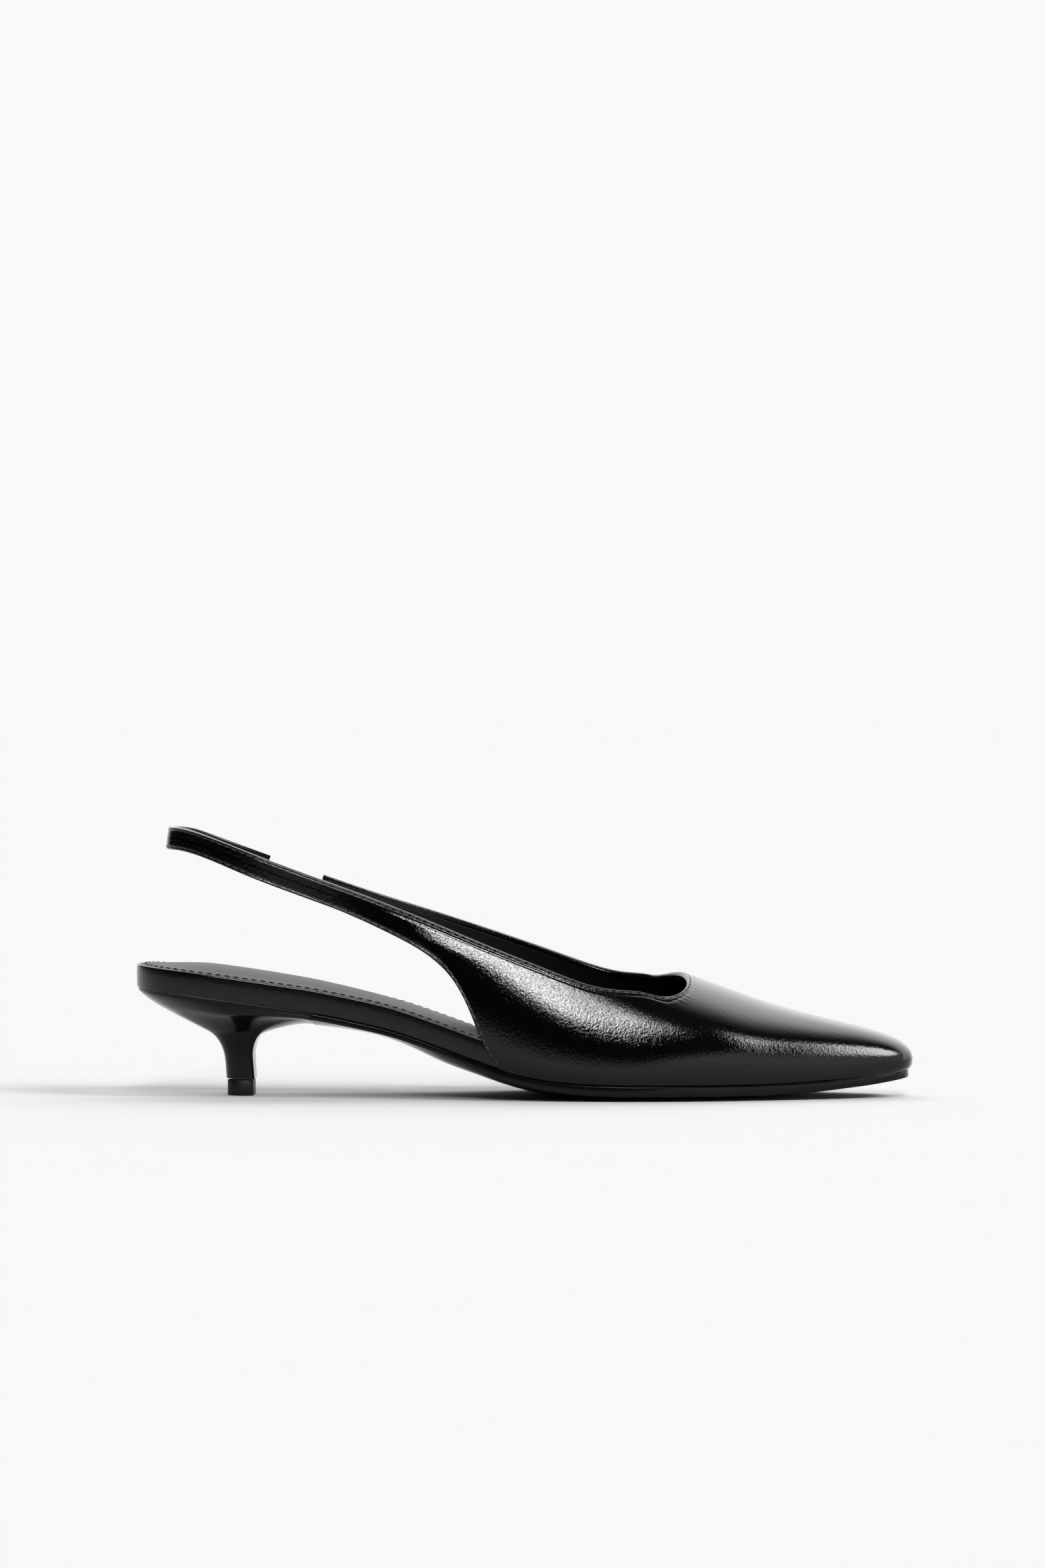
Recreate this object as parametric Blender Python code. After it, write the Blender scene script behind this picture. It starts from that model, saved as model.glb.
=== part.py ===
"""Slingback pump with a kitten heel, right shoe, standing empty on its sole.

Built in metres. The toe points to +X, the outer side of the foot is -Y, and the floor is Z = 0.
The sizes and the functions below are in millimetres, with X measured from the back of the heel seat, and
each finished piece is moved back by half the shoe's length, so that the origin lies under its middle.
"""
import math
from collections import namedtuple

import bmesh
import bpy
from mathutils import Matrix, Vector

MM = 0.001
MERGE = 1e-4

# Driving sizes of the last
SHOE_LENGTH = 252.0
BALL_WIDTH = 67.0
SEAT_WIDTH = 50.0
HEEL_HEIGHT = 35.2
TOE_SPRING = 4.2
THROAT_HEIGHT = 39.2
THROAT_PLACE = 178.0
WIDEST_RISE = 10.0
SIDE_BULGE = 2.0
TOE_BLEND = 12.0
HEEL_BLEND = 27.0

# Driving sizes of the upper and its strap
UPPER_WALL = 2.0
STRAP_HEIGHT = 87.4
STRAP_WIDTH = 7.4
STRAP_BACK = 9.2
STRAP_SPAN = 49.0
STRAP_STRAIGHT = 50.0
STRAP_LEAN = 0.14
QUARTER_FOOT = 118.0
QUARTER_TOP = 70.0
THROAT_DEPTH = 13.0
THROAT_SLANT = 0.16
ELASTIC_BACK = 41.5
ELASTIC_LENGTH = 17.6
ELASTIC_WIDTH = 5.0
ELASTIC_DROP = 1.9
ELASTIC_WALL = 1.2

# Driving sizes of what lies under the foot
FOOTBED_DEPTH = 7.5
FOREPART_DEPTH = 4.0
SOCK_RECESS = 0.6
SOCK_DEPTH = 0.8
SOCK_PAD = 2.2
RIM_WIDTH = 1.0
SOLE_DEPTH = 4.9
SOLE_EDGE = 3.1
SOLE_STEP = 0.6
TREAD_FLAT = 0.2
SOLE_TOE_TUCK = 1.1
HEEL_LIP = 58.0
LIP_CROWN = 0.7
TOP_PIECE_HEIGHT = 5.4
TOP_PIECE_STEP = 0.4
HEEL_CHAMFER = 1.7

# Clearance between pieces that meet, and how far a rounded plate stops before its outline's very end
GAP = 0.3
END_STEP = 0.05

# The least distance between the end of the elastic and the next column of the upper
STEP_ROOM = 1.0

# How square the rounded outlines are: two is an ellipse, and more is nearer to a box
SEAT_SQUARE = 2.2
STRAP_SQUARE = 2.25
TOE_SQUARE = 5.0
THROAT_SQUARE_LATERAL = 2.6
THROAT_SQUARE_MEDIAL = 2.0
# How late the upper's side turns in towards its lower edge
TUCK = 2.6

# One row for each section of the last. along is a share of SHOE_LENGTH, lateral and medial are shares of
# BALL_WIDTH, rise and sole are shares of the heel's height over the ball, spring and tip are shares of
# TOE_SPRING, ridge is a share of THROAT_HEIGHT and widest is a share of WIDEST_RISE.
Section = namedtuple("Section", "along lateral medial rise spring sole tip ridge widest")
LAST = (
    Section(0.000, 0.373, 0.373, 1.000, 0.00, 0.800, 0.00, 4.10, 1.00),
    Section(0.070, 0.373, 0.373, 0.936, 0.00, 0.780, 0.00, 3.95, 1.00),
    Section(0.133, 0.373, 0.371, 0.868, 0.00, 0.765, 0.00, 3.75, 1.00),
    Section(0.194, 0.371, 0.361, 0.795, 0.00, 0.760, 0.00, 3.45, 1.00),
    Section(0.238, 0.372, 0.350, 0.738, 0.00, 0.757, 0.00, 3.20, 1.00),
    Section(0.306, 0.379, 0.341, 0.622, 0.00, 0.675, 0.00, 2.82, 1.00),
    Section(0.345, 0.388, 0.342, 0.536, 0.00, 0.570, 0.00, 2.60, 1.00),
    Section(0.398, 0.408, 0.357, 0.384, 0.00, 0.366, 0.00, 2.30, 1.00),
    Section(0.443, 0.432, 0.381, 0.245, 0.00, 0.232, 0.00, 2.06, 1.00),
    Section(0.480, 0.456, 0.407, 0.140, 0.00, 0.132, 0.00, 1.88, 1.00),
    Section(0.520, 0.480, 0.436, 0.068, 0.00, 0.045, 0.00, 1.70, 1.00),
    Section(0.560, 0.496, 0.463, 0.028, 0.00, 0.000, 0.00, 1.52, 1.00),
    Section(0.615, 0.502, 0.486, 0.004, 0.00, 0.000, 0.00, 1.30, 0.97),
    Section(0.670, 0.492, 0.495, 0.000, 0.00, 0.000, 0.00, 1.12, 0.91),
    Section(0.714, 0.470, 0.484, 0.000, 0.00, 0.000, 0.00, 1.00, 0.84),
    Section(0.760, 0.432, 0.451, 0.000, 0.00, 0.000, 0.00, 0.892, 0.75),
    Section(0.820, 0.363, 0.377, 0.000, 0.04, 0.000, 0.10, 0.760, 0.62),
    Section(0.880, 0.287, 0.297, 0.000, 0.20, 0.000, 0.45, 0.656, 0.49),
    Section(0.940, 0.203, 0.208, 0.000, 0.48, 0.000, 0.98, 0.562, 0.38),
    Section(1.000, 0.116, 0.119, 0.000, 1.00, 0.000, 1.75, 0.442, 0.30),
)

# Height of the topline between THROAT_HEIGHT and STRAP_HEIGHT, on the outer and the inner side
Topline = namedtuple("Topline", "along lateral medial")
TOPLINE = (
    Topline(0.035, 1.000, 1.000),
    Topline(0.060, 0.990, 0.985),
    Topline(0.100, 0.930, 0.911),
    Topline(0.167, 0.800, 0.784),
    Topline(0.246, 0.650, 0.638),
    Topline(0.310, 0.530, 0.528),
    Topline(0.377, 0.396, 0.422),
    Topline(0.448, 0.243, 0.302),
    Topline(0.516, 0.102, 0.182),
    Topline(0.583, -0.031, 0.058),
    Topline(0.619, -0.073, 0.005),
    Topline(0.655, -0.100, -0.024),
)

# The quarter's rear edge, from the strap's lower edge down to the sole
RearEdge = namedtuple("RearEdge", "along height")
REAR_EDGE = (
    RearEdge(0.000, 1.000),
    RearEdge(0.180, 0.922),
    RearEdge(0.359, 0.838),
    RearEdge(0.541, 0.742),
    RearEdge(0.685, 0.622),
    RearEdge(0.775, 0.490),
    RearEdge(0.848, 0.332),
    RearEdge(0.908, 0.168),
    RearEdge(1.000, 0.000),
)

# Edge thickness of the outsole as a share of SOLE_EDGE
SoleEdge = namedtuple("SoleEdge", "along edge")
SOLE_EDGES = (
    SoleEdge(0.20, 0.45),
    SoleEdge(0.40, 0.48),
    SoleEdge(0.50, 0.85),
    SoleEdge(0.60, 1.00),
    SoleEdge(0.78, 0.95),
    SoleEdge(1.00, 0.70),
)

# The heel from its tip up to the seat. height is a share of the heel's height at the back, back and front
# are shares of HEEL_LIP, width is a share of SEAT_WIDTH, tilt turns a level section into the seat's slope and
# curve is the share of the section's length that is rounded at the back.
HeelRow = namedtuple("HeelRow", "height back front width tilt curve")
HEEL_ROWS = (
    HeelRow(0.160, 0.500, 0.664, 0.270, 0.0, 0.80),
    HeelRow(0.300, 0.494, 0.658, 0.276, 0.0, 0.80),
    HeelRow(0.400, 0.484, 0.656, 0.292, 0.0, 0.80),
    HeelRow(0.500, 0.458, 0.670, 0.330, 0.0, 0.80),
    HeelRow(0.580, 0.418, 0.702, 0.390, 0.1, 0.80),
    HeelRow(0.650, 0.355, 0.760, 0.480, 0.3, 0.78),
    HeelRow(0.730, 0.265, 0.850, 0.600, 0.5, 0.72),
    HeelRow(0.800, 0.185, 0.930, 0.720, 0.7, 0.64),
    HeelRow(0.870, 0.105, 0.985, 0.850, 0.85, 0.56),
    HeelRow(0.930, 0.045, 1.000, 0.940, 0.95, 0.50),
    HeelRow(0.975, 0.012, 1.000, 0.985, 1.0, 0.47),
    HeelRow(1.000, 0.005, 1.000, 0.990, 1.0, 0.47),
)

# Where a line runs along a plate: its share of the plate's half width, inset from the side
Rib = namedtuple("Rib", "share inset")

LATERAL = -1
MEDIAL = 1


def value_at(rows, column, place):
    """Value of a table's column at a place along it, on a smooth curve through the rows."""
    keys = [row.along for row in rows]
    values = [getattr(row, column) for row in rows]
    place = min(max(place, keys[0]), keys[-1])
    step = 0
    while step < len(keys) - 2 and place > keys[step + 1]:
        step += 1

    def slope(i):
        low = max(i - 1, 0)
        high = min(i + 1, len(keys) - 1)
        return (values[high] - values[low]) / (keys[high] - keys[low])

    width = keys[step + 1] - keys[step]
    t = (place - keys[step]) / width
    start = (1 + 2 * t) * (1 - t) ** 2 * values[step]
    end = t * t * (3 - 2 * t) * values[step + 1]
    turn_in = t * (1 - t) ** 2 * width * slope(step)
    turn_out = t * t * (t - 1) * width * slope(step + 1)
    return start + end + turn_in + turn_out


def ease(value, low, high):
    """Zero below low, one above high and a smooth step between them."""
    t = min(max((value - low) / (high - low), 0.0), 1.0)
    return t * t * (3 - 2 * t)


def mix(a, b, share):
    return a + (b - a) * share


def last(column, x):
    return value_at(LAST, column, x / SHOE_LENGTH)


def ride(x):
    """Height of the seam between the sole and what stands on it."""
    return SOLE_DEPTH + (HEEL_HEIGHT - SOLE_DEPTH) * last("rise", x) + TOE_SPRING * last("spring", x)


def underside(x):
    """Height of the outsole's lowest line."""
    return max((HEEL_HEIGHT - SOLE_DEPTH) * last("sole", x) + TOE_SPRING * last("tip", x), 0.0)


def widest(x):
    """Height of the upper's widest line."""
    return ride(x) + WIDEST_RISE * last("widest", x)


def bulge(x):
    """How far the upper's side stands out over its own lower edge."""
    return SIDE_BULGE * math.sqrt(last("widest", x))


def ridge(x):
    """Height of the vamp's ridge, and behind the throat of the instep that it would follow."""
    return THROAT_HEIGHT * last("ridge", x)


BOARD_END = SHOE_LENGTH - UPPER_WALL - GAP - bulge(SHOE_LENGTH)


def board(x, side):
    """Half the board's width before its ends are rounded."""
    wide = last("lateral" if side == LATERAL else "medial", x) * BALL_WIDTH
    seat = SEAT_WIDTH / 2
    return mix(seat, wide, ease(x, 0.1 * SHOE_LENGTH, 0.25 * SHOE_LENGTH))


def corner(x):
    """How square the toe is in plan: the exponent of its rounding."""
    return 2.0 + 1.0 * ease(x, 0.78 * SHOE_LENGTH, 0.97 * SHOE_LENGTH)


def toe_part(x, grow):
    """Zero up to the toe's blend and one at its front, to the power of the rounding."""
    start = BOARD_END - TOE_BLEND
    return min(max((x - start) / (TOE_BLEND + grow), 0.0), 1.0) ** TOE_SQUARE


def half_width(x, side, grow):
    """Half the width in plan at a distance outside the board, rounded at the heel and the toe."""
    wide = board(x, side) + grow
    toe = (1 - toe_part(x, grow)) ** (1 / corner(x))
    back = min(max((HEEL_BLEND - x) / (HEEL_BLEND + grow), 0.0), 1.0)
    heel = (1 - back ** SEAT_SQUARE) ** (1 / SEAT_SQUARE)
    return wide * toe * heel


def upper_grow(x):
    """How far the upper's widest line lies outside the board."""
    return GAP + UPPER_WALL + bulge(x)


def fullness(x):
    """The exponent of the upper's arch, rounder at the back and fuller at the toe."""
    return mix(0.5, 0.45, ease(x, 0.8 * SHOE_LENGTH, 0.97 * SHOE_LENGTH))


def arch_height(x, y):
    """Height of the upper over a point of its plan, inside its widest line."""
    side = LATERAL if y < 0 else MEDIAL
    grow = upper_grow(x)
    across = abs(y) / (board(x, side) + grow)
    left = max(1 - across ** corner(x) - toe_part(x, grow), 0.0)
    return widest(x) + (ridge(x) - widest(x)) * left ** fullness(x)


def wall_half(x, z, side):
    """Distance of the upper's side wall from the middle at a height."""
    wide = board(x, side) + upper_grow(x)
    low = widest(x)
    if z >= low:
        share = min((z - low) / (ridge(x) - low), 1.0)
        return wide * (1 - share ** (1 / fullness(x))) ** (1 / corner(x))
    under = min((low - z) / (low - ride(x)), 1.0)
    return wide - bulge(x) * under ** TUCK


def strap_half(x, z, side):
    """Distance of the strap and of the quarter behind it from the middle."""
    share = ease(x, STRAP_STRAIGHT, QUARTER_TOP + 30)
    return mix(STRAP_SPAN / 2, wall_half(x, z, side), share)


def topline(x, side):
    column = "lateral" if side == LATERAL else "medial"
    share = value_at(TOPLINE, column, x / SHOE_LENGTH)
    return mix(THROAT_HEIGHT, STRAP_HEIGHT, share)


def strap_plan_y(x):
    """Distance of the strap from the middle where it turns round the heel."""
    turned = min((STRAP_STRAIGHT - x) / (STRAP_STRAIGHT - STRAP_BACK), 1.0)
    return STRAP_SPAN / 2 * (1 - max(turned, 0.0) ** STRAP_SQUARE) ** (1 / STRAP_SQUARE)


def strap_half_at(x):
    """Distance of the inner side's strap from the middle, behind and in front of where it turns."""
    if x < STRAP_STRAIGHT:
        return strap_plan_y(x)
    return strap_half(x, topline(x, MEDIAL), MEDIAL)


def strap_low(x, side):
    """The strap's lower edge below a point of its topline: a place and a height."""
    fall = (topline(x - 2, side) - topline(x + 2, side)) / 4
    length = math.hypot(1, fall)
    straight = ease(x, STRAP_BACK, STRAP_STRAIGHT)
    return x - STRAP_WIDTH * fall / length * straight, topline(x, side) - STRAP_WIDTH / length


def rear_edge(share, side):
    """A point of the quarter's rear edge in the side view, from the strap down to the sole."""
    start_x, start_z = strap_low(QUARTER_TOP, side)
    row_steps = len(REAR_EDGE) - 1
    place = min(share * row_steps, row_steps - 1e-9)
    low = int(place)
    part = place - low

    def column(name):
        rows = [getattr(REAR_EDGE[min(max(i, 0), row_steps)], name) for i in range(low - 1, low + 3)]
        turn = (rows[2] - rows[0]) / 2
        turn_out = (rows[3] - rows[1]) / 2
        square = part * part
        cube = square * part
        return (
            (2 * cube - 3 * square + 1) * rows[1]
            + (cube - 2 * square + part) * turn
            + (3 * square - 2 * cube) * rows[2]
            + (cube - square) * turn_out
        )

    foot = ride(QUARTER_FOOT) + GAP / 2
    return mix(start_x, QUARTER_FOOT, column("along")), mix(foot, start_z, column("height"))


def throat_point(share, side):
    """A point of the topline from the quarter's foot round the throat's corner to its middle."""
    turn_x = THROAT_PLACE - THROAT_DEPTH
    turn_y = wall_half(turn_x, topline(turn_x, side), side)
    side_part = (turn_x - QUARTER_FOOT) / (turn_x - QUARTER_FOOT + THROAT_DEPTH + turn_y * 0.8)
    if share < side_part:
        x = mix(QUARTER_FOOT, turn_x, share / side_part)
        return Vector((x, side * wall_half(x, topline(x, side), side), topline(x, side)))
    angle = (share - side_part) / (1 - side_part) * math.pi / 2
    power = 2 / (THROAT_SQUARE_LATERAL if side == LATERAL else THROAT_SQUARE_MEDIAL)
    forward = math.sin(angle) ** power
    y = side * turn_y * max(math.cos(angle), 0.0) ** power
    x = turn_x + (THROAT_DEPTH - THROAT_SLANT * y) * forward
    return Vector((x, y, arch_height(x, y)))


def outline_point(share, side):
    """A point of the upper's widest line in plan, from the quarter's foot to the middle of the toe."""
    start = BOARD_END - TOE_BLEND
    grow = upper_grow(SHOE_LENGTH)
    front = start + TOE_BLEND + grow
    side_part = (start - QUARTER_FOOT) / (front - QUARTER_FOOT + board(front, side) + grow)
    if share < side_part:
        x = mix(QUARTER_FOOT, start, share / side_part)
        return Vector((x, side * (board(x, side) + upper_grow(x)), widest(x)))
    angle = (share - side_part) / (1 - side_part) * math.pi / 2
    x = start + (front - start) * math.sin(angle) ** (2 / TOE_SQUARE)
    y = side * (board(x, side) + upper_grow(x)) * max(math.cos(angle), 0.0) ** (2 / corner(x))
    return Vector((x, y, widest(x)))


def outline_share(share):
    """Share of the outline that lies under a share of the topline, so that the columns fan out."""
    return 0.55 * share + 0.45 * share * share


def outline_inward(share, side):
    """The level direction into the shoe, square to its outline."""
    if share > 0.999:
        return Vector((-1, 0, 0))
    along = outline_point(share + 1e-3, side) - outline_point(max(share - 1e-3, 0.0), side)
    return Vector((side * along.y, -side * along.x, 0)).normalized()


def vamp_column(share, side, rows, foot_rows):
    """Points from the topline down the upper to its lower edge, in front of the quarter's rear edge."""
    start = throat_point(share, side)
    under_share = outline_share(share)
    wide = outline_point(under_share, side)
    points = [start]
    for row in range(1, rows + 1):
        way = 1 - (1 - row / rows) ** 2
        x = mix(start.x, wide.x, way)
        y = mix(start.y, wide.y, way)
        points.append(Vector((x, y, arch_height(x, y))))
    points[-1].z = wide.z
    inward = outline_inward(under_share, side)
    low = ride(wide.x) + GAP / 2
    for row in range(1, foot_rows + 1):
        under = row / foot_rows
        point = wide + inward * bulge(wide.x) * under ** TUCK
        point.z = mix(wide.z, low, under)
        points.append(point)
    return points


def side_column(top, low, side, rows):
    """Points down the strap or the quarter between two points of the side view."""
    points = []
    for row in range(rows + 1):
        x = mix(top[0], low[0], row / rows)
        z = mix(top[1], low[1], row / rows)
        points.append(Vector((x, side * strap_half(x, z, side), z)))
    return points


def back_column(turn, side, rows):
    """Points down the strap where it turns round the heel: turn is zero at the back and one at the side."""
    angle = turn * math.pi / 2
    power = 2 / STRAP_SQUARE
    x = STRAP_STRAIGHT - (STRAP_STRAIGHT - STRAP_BACK) * math.cos(angle) ** power
    y = side * STRAP_SPAN / 2 * math.sin(angle) ** power
    low_x, low_z = strap_low(x, side)
    points = []
    for row in range(rows + 1):
        z = mix(topline(x, side), low_z, row / rows)
        lean = STRAP_LEAN * (z - low_z) * (1 - turn)
        points.append(Vector((mix(x, low_x, row / rows) + lean, y, z)))
    return points


def upper_columns(side, rows, foot_rows, turns, fans, vamps):
    """Columns of the upper from the back of the heel to the middle of the toe, on one side."""
    count = rows + foot_rows
    columns = [back_column(i / turns, side, count) for i in range(turns + 1)]
    straight = 3
    for i in range(1, straight + 1):
        x = mix(STRAP_STRAIGHT, QUARTER_TOP, i / straight)
        columns.append(side_column((x, topline(x, side)), strap_low(x, side), side, count))
    for i in range(1, fans):
        x = mix(QUARTER_TOP, QUARTER_FOOT, i / fans)
        columns.append(side_column((x, topline(x, side)), rear_edge(i / fans, side), side, count))
    for i in range(vamps + 1):
        columns.append(vamp_column(i / vamps, side, rows, foot_rows))
    return columns


def material(name, colour, roughness, metallic=0.0):
    made = bpy.data.materials.new(name)
    made.use_nodes = True
    shader = made.node_tree.nodes["Principled BSDF"]
    shader.inputs["Base Color"].default_value = (*colour, 1.0)
    shader.inputs["Roughness"].default_value = roughness
    shader.inputs["Metallic"].default_value = metallic
    return made


def finish(name, mesh_data, look):
    """Makes a millimetre bmesh into a named object in metres, with the origin under the shoe's middle."""
    bmesh.ops.remove_doubles(mesh_data, verts=mesh_data.verts, dist=MERGE)
    bmesh.ops.translate(mesh_data, vec=(-SHOE_LENGTH / 2, 0, 0), verts=mesh_data.verts)
    bmesh.ops.transform(mesh_data, matrix=Matrix.Scale(MM, 4), verts=mesh_data.verts)
    mesh = bpy.data.meshes.new(name)
    mesh_data.to_mesh(mesh)
    mesh_data.free()
    made = bpy.data.objects.new(name, mesh)
    bpy.context.scene.collection.objects.link(made)
    mesh.materials.append(look)
    mesh.shade_smooth()
    mesh.set_sharp_from_angle(angle=math.radians(40))
    return made


def sheet(columns):
    """A grid whose columns run through the given points."""
    made = bmesh.new()
    rows = len(columns[0])
    bmesh.ops.create_grid(made, x_segments=rows - 1, y_segments=len(columns) - 1, size=1)
    made.verts.ensure_lookup_table()
    for vertex, point in zip(made.verts, (p for column in columns for p in column)):
        vertex.co = point
    return made


def tube(rings):
    """A closed body through rings of points, with a ladder of faces over each end."""
    made = sheet([ring + ring[:1] for ring in rings])
    made.verts.ensure_lookup_table()
    size = len(rings[0]) + 1
    starts = (0, (len(rings) - 1) * size)
    for start in starts:
        ring = [made.verts[start + i] for i in range(size - 1)]
        for i in range(len(ring) // 2 - 1):
            corners = (ring[i], ring[i + 1], ring[-i - 2], ring[-i - 1])
            made.faces.new(corners)
    bmesh.ops.remove_doubles(made, verts=made.verts, dist=MERGE)
    bmesh.ops.recalc_face_normals(made, faces=made.faces)
    return made


def plate_stations(start, end, count, round_start):
    """Places along a plate, closer together where its ends are rounded."""
    places = []
    for i in range(count + 1):
        share = i / count
        if round_start:
            share = (1 - math.cos(share * math.pi)) / 2
        else:
            share = math.sin(share * math.pi / 2)
        places.append(mix(start, end, share))
    return places


def plate(places, grow, top, bottom, ribs):
    """A plate under the foot, along ribs that are each a share of its width and an inset from its side."""
    rings = []
    for x in places:
        upper_row = []
        lower_row = []
        for rib in ribs:
            side = LATERAL if rib.share < 0 else MEDIAL
            y = rib.share * half_width(x, side, grow(x) - rib.inset)
            upper_row.append(Vector((x, y, top(x, rib))))
            lower_row.append(Vector((x, y, bottom(x, rib))))
        rings.append(upper_row + lower_row[::-1])
    return tube(rings)


def even_ribs(count):
    return [Rib(2 * i / count - 1, 0.0) for i in range(count + 1)]


def bed_depth(x):
    """Thickness of the footbed, full at the heel and the waist and thin under the ball."""
    return mix(FOOTBED_DEPTH, FOREPART_DEPTH, ease(x, QUARTER_FOOT, QUARTER_FOOT + 0.16 * SHOE_LENGTH))


def bed_top(x):
    """Height of the footbed's rim."""
    return ride(x) + GAP / 2 + bed_depth(x)


def sock_pad(x, share):
    """Extra thickness of the padded heel of the sock."""
    along = ease(x, 0, HEEL_BLEND) * (1 - ease(x, 0.6 * HEEL_LIP, QUARTER_FOOT))
    return SOCK_PAD * along * (1 - share ** 2)


def strap_end(x, rows):
    """A column across the inner side's strap, square to its length, where the elastic interrupts it."""
    column = side_column((x, topline(x, MEDIAL)), strap_low(x, MEDIAL), MEDIAL, rows)
    for point in column:
        point.y = strap_half_at(point.x)
    return column


def make_upper():
    """Vamp, quarters and sling strap as one wall, open at the collar, at the back and underneath."""
    rows, foot_rows = 8, 3
    turns = 9
    outer = upper_columns(LATERAL, rows, foot_rows, turns, fans=9, vamps=26)
    inner = upper_columns(MEDIAL, rows, foot_rows, turns, fans=9, vamps=26)
    elastic_end = ELASTIC_BACK + ELASTIC_LENGTH
    sling = [column for column in inner[1:turns + 1] if column[0].x < ELASTIC_BACK - STEP_ROOM]
    sling.append(strap_end(ELASTIC_BACK, rows + foot_rows))
    quarter = [strap_end(elastic_end, rows + foot_rows)]
    quarter += [column for column in inner[turns + 1:-1] if column[0].x > elastic_end + STEP_ROOM]
    made = sheet(sling[::-1] + outer + quarter[::-1])
    upper = finish("upper", made, material("black_leather", (0.012, 0.012, 0.014), 0.25))
    wall = upper.modifiers.new("wall", "SOLIDIFY")
    wall.thickness = UPPER_WALL * MM
    wall.offset = -1
    wall.use_even_offset = True
    return upper


def make_elastic():
    """The short elastic between the sling strap and the inner quarter's strap."""
    columns = []
    count = 6
    middle = UPPER_WALL / 2
    for i in range(count + 1):
        x = mix(ELASTIC_BACK + GAP, ELASTIC_BACK + ELASTIC_LENGTH - GAP, i / count)
        low_x, low_z = strap_low(x, MEDIAL)
        top = Vector((x, strap_half_at(x) - middle, topline(x, MEDIAL)))
        low = Vector((low_x, strap_half_at(low_x) - middle, low_z))
        start = ELASTIC_DROP / STRAP_WIDTH
        end = start + ELASTIC_WIDTH / STRAP_WIDTH
        ends = [top.lerp(low, start), top.lerp(low, end)]
        wall = Vector((0, ELASTIC_WALL / 2, 0))
        columns.append([ends[0] - wall, ends[0] + wall, ends[1] + wall, ends[1] - wall])
    return finish("elastic_band", tube(columns), material("black_elastic", (0.02, 0.02, 0.02), 0.7))


def make_footbed():
    """The wrapped insole board, whose edge shows behind the quarters, with a shallow recess for the sock."""
    step = 0.01
    walls = [Rib(1, 0.0), Rib(1, RIM_WIDTH), Rib(1, RIM_WIDTH + step), Rib(0.5, RIM_WIDTH + step)]
    ribs = [Rib(-rib.share, rib.inset) for rib in walls] + [Rib(0, RIM_WIDTH + step)] + walls[::-1]

    def top(x, rib):
        inside = RIM_WIDTH < x < BOARD_END - RIM_WIDTH and rib.inset > RIM_WIDTH
        return bed_top(x) - SOCK_RECESS * inside

    def bottom(x, rib):
        return ride(x) + GAP / 2

    ends = [END_STEP, RIM_WIDTH]
    places = plate_stations(RIM_WIDTH + step, BOARD_END - RIM_WIDTH - step, 42, True)
    places = ends + places + [BOARD_END - place for place in ends[::-1]]
    return finish("footbed", plate(places, lambda x: 0.0, top, bottom, ribs),
                  material("black_wrap", (0.02, 0.02, 0.022), 0.2))


def make_insole():
    """The sock on the footbed, padded at the heel."""
    def bottom(x, rib):
        return bed_top(x) - SOCK_RECESS + GAP

    def top(x, rib):
        return bottom(x, rib) + SOCK_DEPTH + sock_pad(x, rib.share)

    inset = RIM_WIDTH + GAP
    places = plate_stations(inset + END_STEP, BOARD_END - inset - END_STEP, 40, True)
    return finish("insole", plate(places, lambda x: -inset, top, bottom, even_ribs(10)),
                  material("black_sock", (0.03, 0.03, 0.033), 0.45))


def sole_grow(x):
    """How far the outsole's edge stands outside the board: past the wrap, then past the upper."""
    forepart = GAP + UPPER_WALL + SOLE_STEP - SOLE_TOE_TUCK * ease(x, 0.88 * SHOE_LENGTH, SHOE_LENGTH)
    return mix(SOLE_STEP, forepart, ease(x, QUARTER_FOOT - 14, QUARTER_FOOT + 2))


def make_outsole():
    """The outsole, thin at the waist, crowned underneath and flat on the floor under the ball."""
    def top(x, rib):
        return ride(x) - GAP / 2

    def bottom(x, rib):
        edge = ride(x) - GAP / 2 - SOLE_EDGE * value_at(SOLE_EDGES, "edge", x / SHOE_LENGTH)
        middle = min(underside(x), edge)
        outward = max((abs(rib.share) - TREAD_FLAT) / (1 - TREAD_FLAT), 0.0)
        return mix(middle, edge, outward ** 2)

    end = BOARD_END + sole_grow(SHOE_LENGTH) - END_STEP
    places = plate_stations(HEEL_LIP + GAP, end, 40, False)
    return finish("outsole", plate(places, sole_grow, top, bottom, even_ribs(10)),
                  material("black_sole", (0.03, 0.03, 0.03), 0.4))


def heel_ring(row, turns):
    """One section of the heel: round at the back, flat at the front, with cut corners."""
    back = row.back * HEEL_LIP
    front = row.front * HEEL_LIP
    half = row.width * SEAT_WIDTH / 2
    cut = HEEL_CHAMFER * (1 - 0.6 * row.height)
    seat = HEEL_HEIGHT - GAP / 2
    length = (front - cut - back) * row.curve
    ring = []

    def add(x, y):
        arch = LIP_CROWN * (y / half) ** 2 * ease(x, mix(back, front, 0.4), front)
        sloped = ride(x) - GAP / 2 - (1 - row.height) * seat * (1 - arch)
        ring.append(Vector((x, y, mix(row.height * seat, sloped, row.tilt))))

    add(front, (cut - half) / 3)
    add(front, cut - half)
    add(front - cut, -half)
    for i in range(turns + 1):
        angle = math.pi / 2 * (2 * i / turns - 1)
        x = back + length - length * math.cos(angle) ** (2 / SEAT_SQUARE)
        add(x, half * math.copysign(abs(math.sin(angle)) ** (2 / SEAT_SQUARE), angle))
    add(front - cut, half)
    add(front, half - cut)
    add(front, (half - cut) / 3)
    return ring


def make_heel():
    """The moulded heel from its seat down to the top piece, with a flat breast."""
    rings = [heel_ring(row, 17) for row in HEEL_ROWS]
    return finish("heel", tube(rings), material("black_heel", (0.015, 0.015, 0.017), 0.15))


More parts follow.
